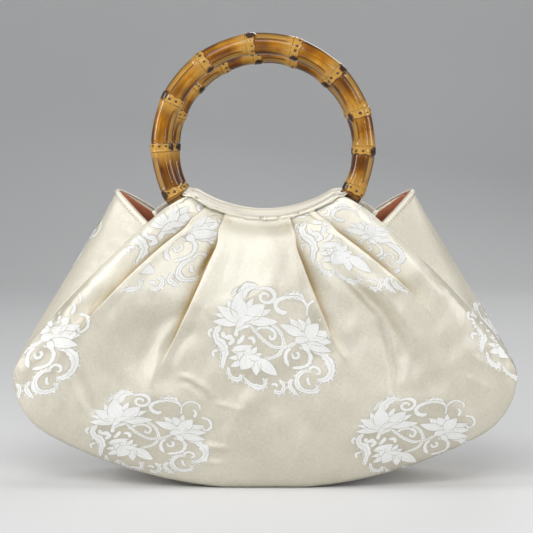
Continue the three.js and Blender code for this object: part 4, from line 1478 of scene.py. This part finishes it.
# %% The medallion on point paper
SQUARE = 0.588  # one square of the paper on the cloth, in mm
MIDDLE = (80, 73)  # the medallion's middle on the paper; y runs down
LOTUSES = {
    # base x, base y, tip x, tip y, width; petals nearer the front come later
    "upper": [
        (36, 51, 70, 50, 13), (38, 44, 33, 29.5, 8), (30, 48, 19, 45, 6), (52, 42, 60, 28.5, 8),
        (64, 47, 79, 41, 8), (43, 55, 17, 53, 10), (57, 53, 86, 54, 11), (44, 52, 22, 37, 13),
        (55, 49, 72, 35.5, 16), (46, 50, 43, 24.5, 18), (51, 50, 41, 61, 8), (46, 52, 60, 49, 8),
    ],
    "right": [
        (108, 71, 134, 74, 20), (117, 60, 118, 48, 7), (109, 62, 98, 50, 9), (114, 62, 107, 50.5, 10),
        (110, 67, 88, 56.5, 11), (121, 70, 141, 65.5, 12), (118, 73, 143, 75, 11), (116, 77, 142, 85, 11),
        (116, 69, 128.5, 55.5, 15), (112, 77, 119, 86, 8), (104, 73, 118, 72, 9),
    ],
    "lower": [
        (44, 88, 72, 96, 15), (49, 87, 36.5, 83, 6), (48, 91, 34.5, 91.5, 7), (48, 95, 36, 100.5, 8),
        (51, 95, 44, 80.5, 11), (39, 82.5, 60, 79, 8), (56, 94, 54.5, 79, 13), (58, 88, 64, 79.5, 7),
        (61, 90, 69, 87, 6), (63, 94, 63, 110, 11),
        (66, 94, 85, 110, 13), (58, 90, 46.5, 103.5, 16), (56, 90, 68, 93, 8),
    ],
}
STROKES = [
    # widths at the start, middle and end; 1 for a leaf with a toothed edge; points: stems come first
    (3.2, 3.2, 3.2, 0, [(55.5, 56), (64, 66), (72, 74), (82, 80), (92, 80)]),
    (3.4, 3.4, 3.4, 0, [(78, 56), (86, 62), (91, 72), (91.5, 81)]),
    (3.0, 3.0, 3.0, 0, [(91.5, 81), (86, 88.5), (78, 91.5), (71, 92.5)]),
    (3.5, 3.5, 3.5, 0, [(91.5, 80.5), (97, 79), (104, 76), (108, 72)]),
    # the tendril in the loop, and the leaf and spiral above
    (3.0, 2.8, 2.4, 0, [(62, 63), (68, 59.5), (76, 60), (82.5, 65), (82, 71), (78, 71.5), (77, 67.5)]),
    (9.0, 8.0, 2.6, 1, [(47.5, 29), (49.3, 22.1), (54.6, 17.3), (60.8, 16.8), (65.2, 18.8)]),
    (3.4, 3.4, 2.6, 0, [(65, 19.5), (73.2, 18.6), (80.2, 22.1), (82, 28.3), (78.4, 32.7), (72.3, 33.6),
                        (67.5, 30), (67.9, 25.6), (71.4, 23.9), (75, 25.6), (75.3, 28.3)]),
    (3.0, 4.0, 2.5, 1, [(37, 27), (42, 21), (49, 17.5)]),
    # the hook and leaf at the upper right
    (4.8, 4.0, 2.4, 0, [(95.2, 43.3), (90.8, 44.2), (85.5, 41.5), (82.9, 36.2), (85.5, 31.8), (90.8, 29.2),
                        (97.9, 28.4), (104.9, 28.5), (112, 31.2), (116, 37), (116, 47)]),
    (3.5, 5.0, 3.0, 1, [(91, 28.5), (98, 26.5), (105, 25.8), (113, 28.5)]),
    (2.4, 2.4, 2.2, 0, [(116.5, 44), (117.5, 36), (126, 31), (135, 36), (136.5, 43)]),
    (3.4, 3.0, 1.4, 0, [(130, 53), (132, 47), (129, 42)]),
    (2.8, 2.8, 2.2, 0, [(138, 54), (146, 58), (148, 68), (142, 72), (138, 66)]),
    # the stem and hooks at the left
    (5.5, 7.6, 3.0, 1, [(25, 57.5), (20.4, 65), (22, 72.4), (28.1, 77.7), (30.8, 84.8), (28.6, 93.6),
                        (27.4, 103)]),
    (3.2, 3.0, 2.2, 0, [(14.9, 69.5), (13.1, 64.5), (17, 60.5)]),
    (3.6, 5.0, 3.2, 0, [(27.2, 64.5), (29.9, 69.8), (36.1, 69.8), (37.8, 74.2), (33.4, 77.7)]),
    (3.4, 3.0, 2.4, 0, [(18.4, 90.5), (17.5, 84.8), (23, 83.5)]),
    (4.2, 4.8, 3.2, 0, [(41.5, 69), (43, 62), (50, 58.5), (57, 57.5)]),
    (4.6, 4.4, 2.4, 0, [(50, 68), (47, 73), (43, 76.5)]),
    (3.8, 4.0, 2.4, 0, [(54, 70.5), (60, 71.5), (60.5, 77)]),
    # loops below
    (3.0, 4.8, 3.0, 1, [(33.5, 101), (35.2, 109.5), (40.5, 113.9), (45.8, 113), (46.7, 108.5)]),
    (3.0, 4.8, 2.6, 1, [(50.2, 112), (55.5, 118.3), (64.3, 121.8), (70.5, 121.8), (72.5, 117),
                        (69.6, 112.5)]),
    (3.6, 3.8, 3.4, 0, [(99, 80.5), (94.5, 86), (94, 93), (97, 100)]),
    (3.2, 3.4, 3.2, 0, [(108, 80.5), (116, 83.5), (120, 91), (117.5, 98.5), (110, 101.5), (101, 102)]),
    (2.8, 2.6, 2.2, 0, [(100.5, 87), (102.5, 91.5), (107, 91), (107.5, 87), (104.5, 85.8)]),
    (3.0, 8.0, 3.0, 1, [(120.8, 83.5), (129.6, 86.5), (138.5, 93.6), (142.4, 102.4), (140, 110.5),
                        (133.2, 114.8), (126.5, 113.9)]),
    (3.0, 2.8, 2.4, 0, [(117.3, 105), (122.6, 100.7), (128.8, 103.3), (129.6, 107.5), (125.8, 108.6)]),
    (3.2, 5.2, 3.0, 1, [(120.8, 106), (112, 106), (107, 110.4), (105.8, 117.4), (109.3, 123.6),
                        (116.4, 126.8), (123.5, 126.8), (127.9, 123.2), (124.8, 119.6)]),
    (3.6, 3.2, 1.6, 0, [(117, 112), (117.5, 117), (120, 120)]),
    (2.8, 4.2, 2.8, 1, [(87.3, 114.8), (91.7, 120), (90.8, 126.2), (85.5, 128), (82, 125)]),
    (2.6, 2.8, 2.0, 0, [(79, 119.5), (83, 119), (85.5, 122)]),
    (3.2, 4.8, 1.6, 1, [(100.5, 114), (97.9, 120.5), (102, 126.5), (107.6, 131.5)]),
    (2.6, 2.6, 2.0, 0, [(103, 117), (104.5, 122)]),
]
PETAL_STEP = 1.6  # between points along a petal, in squares like all widths here
STROKE_STEP = 1.7
PETAL_EDGE = 0.75  # width of the outline round a petal
VEINED = 9  # petals from this width up show two veins
VEIN_AT = 0.4  # share of the way from a petal's middle to its edge
VEIN_WIDTH = 0.3
VEIN_LENGTH = 0.75  # share of the petal's length
LOBE = {"root": 0.3, "out": 0.9, "along": 1.8, "width": 3.0}  # root: share of the stroke's half width
STEMS = 4  # the first strokes are stems, with a vein down the middle
FULL_STROKE = 1.4  # woven strokes are fuller than pen strokes
RAGGED = 0.22  # uneven width of a stroke, as a share of it
STROKE_EDGE = 0.26  # width of the outline along each side of a stroke, as a share of its half width


def ribbon(centre, half):
    """Left, middle and right points along a line with a half width at each point."""
    along = unit(np.gradient(centre, axis=0))
    side = np.stack([along[:, 1], -along[:, 0]], -1) * np.asarray(half)[:, None]
    return np.stack([centre - side, centre, centre + side], 1)


def petal_shape(row):
    """One petal as a leaf, and the fine outline round it."""
    base, tip, width = np.array(row[:2]), np.array(row[2:4]), row[4]
    count = max(8, int(np.linalg.norm(tip - base) / PETAL_STEP))
    s = np.linspace(0, 1, count)
    leaf = (s + 0.06) ** 0.6 * (1.001 - s) ** 0.92
    half = width / 2 * leaf / leaf.max()
    body = ribbon(base + (tip - base) * s[:, None], half)
    fine = min(PETAL_EDGE / (width / 2), 0.5)
    edges = [np.stack([body[:, k], mix(body[:, k], body[:, 1], fine)], 1) for k in (0, 2)]
    veins = []
    if width >= VEINED:
        spread = np.stack([mix(body[:, 1], body[:, k], VEIN_AT) for k in (0, 2)], 1)
        thin = VEIN_WIDTH / (width / 2)
        for side, k in ((0, 0), (1, 2)):
            line = np.stack([spread[:, side], mix(spread[:, side], body[:, k], thin)], 1)
            veins.append(line[1:int(count * VEIN_LENGTH)])
    return body, edges + veins


def stroke_shape(row):
    """A woven stroke: its width goes from start to end through the middle, with a slightly ragged edge."""
    start, middle, end, _, points = row
    points = np.array(points, float)
    length = np.linalg.norm(np.diff(points, axis=0), axis=1).sum()
    centre = smooth_line(np.c_[points, np.zeros(len(points))], max(6, int(length / STROKE_STEP)))[:, :2]
    s = np.linspace(0, 1, len(centre))
    ends = np.sqrt(ease(s, -0.05, 0.12) * ease(1 - s, -0.04, 0.1))
    ragged = 1 + RAGGED * np.random.default_rng(len(centre)).uniform(-1, 1, len(centre))
    return ribbon(centre, FULL_STROKE * np.interp(s, [0, 0.5, 1], [start, middle, end]) / 2 * ends * ragged)


def leaf_lobes(body):
    """Small lobes along the outer side of a broad stroke, as on a curled leaf."""
    centre = body[:, 1]
    along = unit(np.gradient(centre, axis=0))
    bend = np.sum(along[:-1, 0] * along[1:, 1] - along[:-1, 1] * along[1:, 0])
    outer = np.stack([along[:, 1], -along[:, 0]], -1) * math.copysign(1, bend)
    half = np.linalg.norm(body[:, 0] - centre, axis=1)
    lobes = []
    for k in range(2, len(centre) - 2, 2):
        start = centre[k] + outer[k] * half[k] * LOBE["root"]
        tip = centre[k] + outer[k] * (half[k] + LOBE["out"]) + along[k] * LOBE["along"]
        lobes.append(petal_shape((*start, *tip, LOBE["width"]))[0])
    return lobes


def chart_strips():
    """Every strip of the medallion: its points in millimetres, its layer and whether it is an outline."""
    strips = [(stroke_shape(row), 0, False) for row in STROKES]
    for petals in LOTUSES.values():
        for layer, row in enumerate(petals):
            body, edges = petal_shape(row)
            strips.append((body, layer + 1, False))
            strips += [(edge, layer + 1, True) for edge in edges]
    for k, row in enumerate(STROKES):
        body = stroke_shape(row)
        for side in (0, 2):
            edge = np.stack([body[:, side], mix(body[:, side], body[:, 1], STROKE_EDGE)], 1)
            strips.append((edge, 0, True))
        if k < STEMS or row[3]:
            vein = np.stack([mix(body[:, 1], body[:, side], VEIN_WIDTH / row[1]) for side in (0, 2)], 1)
            strips.append((vein[1:-1], 1, True))
        if row[3]:
            strips += [(lobe, 0, False) for lobe in leaf_lobes(body)]
    return [((np.asarray(p) - MIDDLE) * (SQUARE, -SQUARE), layer, line) for p, layer, line in strips]


CHART = chart_strips()
print(f"the medallion: {sum(map(len, LOTUSES.values()))} petals, {len(STROKES)} strokes")

# %% [markdown]
# ## Laying the figure on the cloth
# The figure is part of the cloth, so it has to follow every fold. Each point of the chart is dropped on
# to the sewn panel along a straight line from the front, with a ray cast, and lifted by a hair's breadth.
# Where a pleat hides cloth, the chart is cut: each row of the table below names the stretch of panel that
# it may land on, and a face that would bridge a fold is left out.

# %% Medallions of the panels
MEDALLIONS = [
    # x, z of the middle; how the figure's width and height run (xx, xz, zx, zz); first and last station;
    # how far the ground round it is dulled, or, where below 0, lit by a painted highlight
    (4.6, 94.4, 1, 0, 0, 1, 0, 6, 0.7),
    (-72.7, 35.8, 0.98, 0, 0.05, 0.78, 0, 10, 0.8),
    (91.8, 33.4, 0.96, 0, 0.14, 0.78, 0, 10, 0.8),
    (-155, 91.5, 1.12, 0.2, 0.2, 1.08, 0, 10, 0.7),
    (165, 93, 1, 0, -0.3, 0.9, 0, 10, 0.3),
    (-70.2, 155.8, 1.18, 0.05, 0.277, 0.956, 3, 3.84, -1.5),
    (-38.1, 148.5, 1.21, 0.21, -0.264, 0.969, 0, 2.92, -1.5),
    (60.5, 155.8, 1.058, -0.103, -0.069, 0.914, 6.08, 7, -1.5),
    (50.1, 155.2, 0.713, -0.423, 0.147, 0.698, 7.08, 10, -1.5),
]
LIFT = 0.14  # how far the figure stands off the ground cloth
LAYER = 0.018  # between petals that overlap
PAINTED_LIGHT_UNDER_LIP = 0.6  # painted light: the silk just under the lip is drawn brighter
STEEPEST = 2.6  # depth across one face, past which it would bridge a fold
STEEP_SHARE = 1.2  # the same as a share of the face's width, with a little to spare
STEEP_SPARE = 0.3
HIDDEN = 0.4  # cloth tucked in further than this shows no figure
OUTLINE_LIFT = 0.008  # an outline lies on its petal
FROM_FAR = 200  # rays start this far out
GRAZING = 0.2  # cloth seen more edge on than this is left out
FIGURE_HALF = (39, 34)  # half the width and height of a medallion


def figure_mesh(name, parts):
    """One piece from parts, each (points, quads, outline flags, chart points), without unused points."""
    points, quads, flags, uvs = zip(*parts)
    starts = np.cumsum([0] + [len(p) for p in points])
    quads = np.concatenate([q + start for q, start in zip(quads, starts)])
    used, quads = np.unique(quads, return_inverse=True)
    points, uvs = np.concatenate(points)[used], np.concatenate(uvs)[used]
    piece = new_piece(name, points, quads.reshape(-1, 4), uvs, FIGURE)
    piece.data.materials.append(OUTLINE)
    piece.data.polygons.foreach_set("material_index", np.concatenate(flags).astype(np.int32))
    print(f"{name}: {len(piece.data.polygons)} faces")
    return piece


def strip_quads(shape):
    return grid_quads(np.arange(math.prod(shape)).reshape(shape))


def standing_off(layer, line):
    """How far a strip of the chart stands off the ground cloth."""
    return LIFT + LAYER * layer + OUTLINE_LIFT * line


def figure_part(landed, quads, outward, line, flat):
    """One strip as a part of a figure, turned round where its first face would look into the cloth."""
    points = landed.reshape(-1, 3)
    a, b, _, d = points[quads[0]]
    quads = quads if np.cross(b - a, d - a) @ outward > 0 else quads[:, ::-1]
    return points, quads, np.full(len(quads), line), flat.reshape(-1, 2)


def lay_on_panel(face, fold_shade, side, rows):
    """The chart dropped on a panel; side is -1 for the front and 1 for the back."""
    tree = BVHTree.FromPolygons(face.reshape(-1, 3).tolist(), strip_quads(face.shape[:2]).tolist())
    columns = panel_columns if side < 0 else panel_columns[::-1]
    inwards = Vector((0, -side, 0))
    parts = []
    for x, z, xx, xz, zx, zz, first, last, _ in rows:
        for flat, layer, line in CHART:
            u = flat[..., 0] * -side
            spot = np.stack([x + xx * u + xz * flat[..., 1], z + zx * u + zz * flat[..., 1]], -1)
            landed = np.zeros((*flat.shape[:2], 3))
            fits = np.zeros(flat.shape[:2], bool)
            for k in np.ndindex(*fits.shape):
                start = Vector((spot[k][0], FROM_FAR * side, spot[k][1]))
                hit, normal, index, _ = tree.ray_cast(start, inwards)
                if hit is None or abs(normal[1]) < GRAZING:
                    continue
                row, column = divmod(index, face.shape[1] - 1)
                fits[k] = first <= columns[column] <= last and fold_shade[row, column] < HIDDEN
                landed[k] = np.array(hit) + np.array(normal) * standing_off(layer, line)
            quads = strip_quads(fits.shape)
            depth = np.ptp(landed.reshape(-1, 3)[:, 1][quads], axis=1)
            width = np.ptp(spot.reshape(-1, 2)[quads], axis=1).max(1)
            lies_flat = (depth < STEEPEST) & (depth < STEEP_SHARE * width + STEEP_SPARE)
            quads = quads[fits.ravel()[quads].all(1) & lies_flat]
            if len(quads):
                parts.append(figure_part(landed, quads, np.array([0, side, 0]), line, flat))
    return parts


def dulling_and_painted_light_grid(face, rows):
    """How far the ground's tone is lowered at each point of a panel's grid; a row below 0 raises it instead,
    as a painted highlight.
    """
    dulling_and_painted_light_values = np.zeros(face.shape[:2])
    for x, z, xx, xz, zx, zz, _, _, row_dulling_and_painted_light in rows:
        away = np.stack([face[..., 0] - x, face[..., 2] - z], -1) @ np.linalg.inv([[xx, xz], [zx, zz]]).T
        inside = 1 - ease(np.hypot(*np.moveaxis(away / FIGURE_HALF, -1, 0)), 0.8, 1.05)
        dulling_and_painted_light_values = np.where(inside * abs(row_dulling_and_painted_light) > np.abs(dulling_and_painted_light_values), inside * row_dulling_and_painted_light, dulling_and_painted_light_values)
    return dulling_and_painted_light_values


# painted light: the rows just under the lip are made brighter
painted_light_under_lip_rows = PAINTED_LIGHT_UNDER_LIP * ease(PANEL_ROWS, 0.83, 0.92)[:, None]
mark_cloth(front_panel, "dull_and_painted_light", dulling_and_painted_light_grid(front_face, MEDALLIONS) - painted_light_under_lip_rows)
mark_cloth(back_panel, "dull_and_painted_light", dulling_and_painted_light_grid(back_face, MEDALLIONS) - painted_light_under_lip_rows)
front_figure = figure_mesh("front_woven_figure", lay_on_panel(front_face, fold_shade_grid, -1, MEDALLIONS))
back_figure = figure_mesh("back_woven_figure", lay_on_panel(back_face, fold_shade_grid[:, ::-1], 1, MEDALLIONS))

# %% [markdown]
# The gusset is a plain strip, so its figures need no ray cast: the chart is laid along the strip by
# distance, as the weaver's cloth was before it was folded, and each point is read from the grid.

# %% Medallions of the gusset
STRIP_MEDALLIONS = [
    # distance from the left mouth, offset from the crease, and 1 where the figure stands up to the left
    (35, 27, 1),
    (204, 10, 1),
    (373, -8, -1),
    (528, -14, -1),
]


SEAM_CLEAR = 1.2
HEM_CLEAR = 9
TABLE_CLEAR = 1.0


def read_grid(grid, row, column):
    """A grid's values at places between its rows and columns."""
    r0 = np.clip(row.astype(int), 0, grid.shape[0] - 2)
    c0 = np.clip(column.astype(int), 0, grid.shape[1] - 2)
    down, across = (row - r0)[..., None], (column - c0)[..., None]
    low = mix(grid[r0, c0], grid[r0, c0 + 1], across)
    high = mix(grid[r0 + 1, c0], grid[r0 + 1, c0 + 1], across)
    return mix(low, high, down)


def lay_on_strip(face, rows):
    """The chart laid along the gusset by distance."""
    normals = grid_normals(face)
    count, columns = face.shape[:2]
    distance = run_along(face[:, columns // 2])
    width = cloth_lengths(face)[..., 0]
    parts = []
    for along, aside, up in rows:
        for flat, layer, line in CHART:
            s = along - up * flat[..., 1]
            t = aside - up * flat[..., 0]
            row = np.interp(s, distance, np.arange(count))
            near = np.clip(np.round(row).astype(int), 0, count - 1)
            column = [np.interp(t[k], width[near[k]], np.arange(columns)) for k in np.ndindex(*t.shape)]
            column = np.reshape(column, t.shape)
            outward = read_grid(normals, row, column)
            landed = read_grid(face, row, column) + outward * standing_off(layer, line)
            keep = (np.abs(t) < np.abs(width[near, 0]) - SEAM_CLEAR) & (landed[..., 2] > TABLE_CLEAR)
            keep &= (s > HEM_CLEAR) & (s < distance[-1] - HEM_CLEAR)
            quads = strip_quads(t.shape)
            quads = quads[keep.ravel()[quads].all(1)]
            if len(quads):
                parts.append(figure_part(landed, quads, outward.reshape(-1, 3)[quads[0, 0]], line, flat))
    return parts


gusset_figure = figure_mesh("gusset_woven_figure", lay_on_strip(gusset_face, STRIP_MEDALLIONS))

# %% [markdown]
# ## Riding on the frame
# Each piece is tied to the one body of the frame, and the solids that it stands in for are hidden. A
# panel was cut as a fan with the pleats let out, and the strip and the bands as long rectangles.

# %% Ties to the frame
PIECES = [
    (front_panel, "silk", ["front_panel"]),
    (back_panel, "silk", ["back_panel"]),
    (gusset, "silk", ["gusset"]),
    (lining, "satin", ["lining"]),
    (front_band, "silk", ["front_casing"]),
    (back_band, "silk", ["back_casing"]),
    (front_ring, "bamboo", ["front_ring"]),
    (back_ring, "bamboo", ["back_ring"]),
    (front_dots, "bamboo", []),
    (back_dots, "bamboo", []),
    (hem_stitches, "silk", []),
    (band_tacks, "silk", []),
    (front_figure, "silk", []),
    (back_figure, "silk", []),
    (gusset_figure, "silk", []),
]
for piece, slot, nodes in PIECES:
    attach(piece, "root")
    if nodes:
        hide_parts(*nodes)

print(f"{len(PIECES)} pieces ride on the frame")

# %% [markdown]
# ## Studio
# The bag stands on a plain pale floor in soft light from above and in front, and the camera looks from
# a little above, straight at the front, through a long lens.

# %% Floor, lights and camera
FLOOR_HALF = 3.0
SWEEP_START = 1.2  # the floor runs level to here behind the bag, then curves up to the backdrop
SWEEP_RADIUS = 0.8
SWEEP_STEPS = 16
BACKDROP_TOP = 3.0
PAPER_TONES = [(0, (0.66, 0.66, 0.66)), (1, (0.72, 0.72, 0.72))]
LIGHTS = [
    # name; place; the point it is turned to; width and height; power
    ("key_softbox", (-0.1, -1.08, 0.95), (0, 0, 0.1), (0.9, 0.6), 8.3),
    ("overhead_softbox", (0.0, -0.1, 1.3), (0, 0, 0.1), (0.9, 0.5), 1.2),
    ("left_softbox", (-1.1, -0.2, 0.55), (0, 0, 0.15), (0.3, 0.6), 6.5),
    ("right_softbox", (1.1, -0.2, 0.55), (0, 0, 0.15), (0.3, 0.6), 5),
    ("left_strip", (-0.75, -0.85, 0.7), (0, 0, 0.08), (0.12, 0.45), 2.5),
    ("right_strip", (0.62, -1.05, 0.34), (0, 0, 0.2), (0.05, 0.5), 2.0),
    ("back_softbox", (0.3, 1.2, 0.9), (0, 0, 0.15), (0.8, 0.5), 4),
]
SKY = (0.9, 0.92, 0.95)
SKY_STRENGTH = 0.26
CAMERA = {"place": (0.00094, -1.1456, 0.2360), "tilt": 85, "lens": 120.8, "sensor": 36}


def floor_sweep():
    """One sheet of studio paper: a level floor that curves up behind the bag."""
    profile = [(-FLOOR_HALF, 0), (SWEEP_START, 0)]
    for k in range(1, SWEEP_STEPS + 1):
        a = math.pi / 2 * k / SWEEP_STEPS
        profile.append((SWEEP_START + SWEEP_RADIUS * math.sin(a), SWEEP_RADIUS * (1 - math.cos(a))))
    profile.append((SWEEP_START + SWEEP_RADIUS, BACKDROP_TOP))
    points = [(x, y, z) for y, z in profile for x in (-FLOOR_HALF, FLOOR_HALF)]
    quads = [(2 * k, 2 * k + 1, 2 * k + 3, 2 * k + 2) for k in range(len(profile) - 1)]
    mesh = bpy.data.meshes.new("floor")
    mesh.from_pydata(points, [], quads)
    paper, _, shader, _ = speckled_material("pale_floor", 3, 4, PAPER_TONES)
    set_sockets(shader, {"Roughness": 0.7})
    mesh.materials.append(paper)
    mesh.shade_smooth()
    return place_object("floor", mesh)


def area_light(name, place, target, size, power):
    light = bpy.data.lights.new(name, "AREA")
    light.shape = "RECTANGLE"
    light.size, light.size_y = size
    light.energy = power
    lamp = place_object(name, light)
    lamp.location = place
    lamp.rotation_euler = (Vector(target) - Vector(place)).to_track_quat("-Z", "Y").to_euler()


floor_sweep()
for light_row in LIGHTS:
    area_light(*light_row)

world = bpy.data.worlds.new("studio")
world.use_nodes = True
set_sockets(world.node_tree.nodes["Background"], {"Color": (*SKY, 1), "Strength": SKY_STRENGTH})
bpy.context.scene.world = world

camera_data = bpy.data.cameras.new("camera")
camera_data.lens = CAMERA["lens"]
camera_data.sensor_width = CAMERA["sensor"]
camera = place_object("camera", camera_data)
camera.location = CAMERA["place"]
camera.rotation_euler = (math.radians(CAMERA["tilt"]), 0, 0)
bpy.context.scene.camera = camera
bpy.context.scene.view_settings.view_transform = "Standard"
print(f"{len(LIGHTS)} lights and one camera")
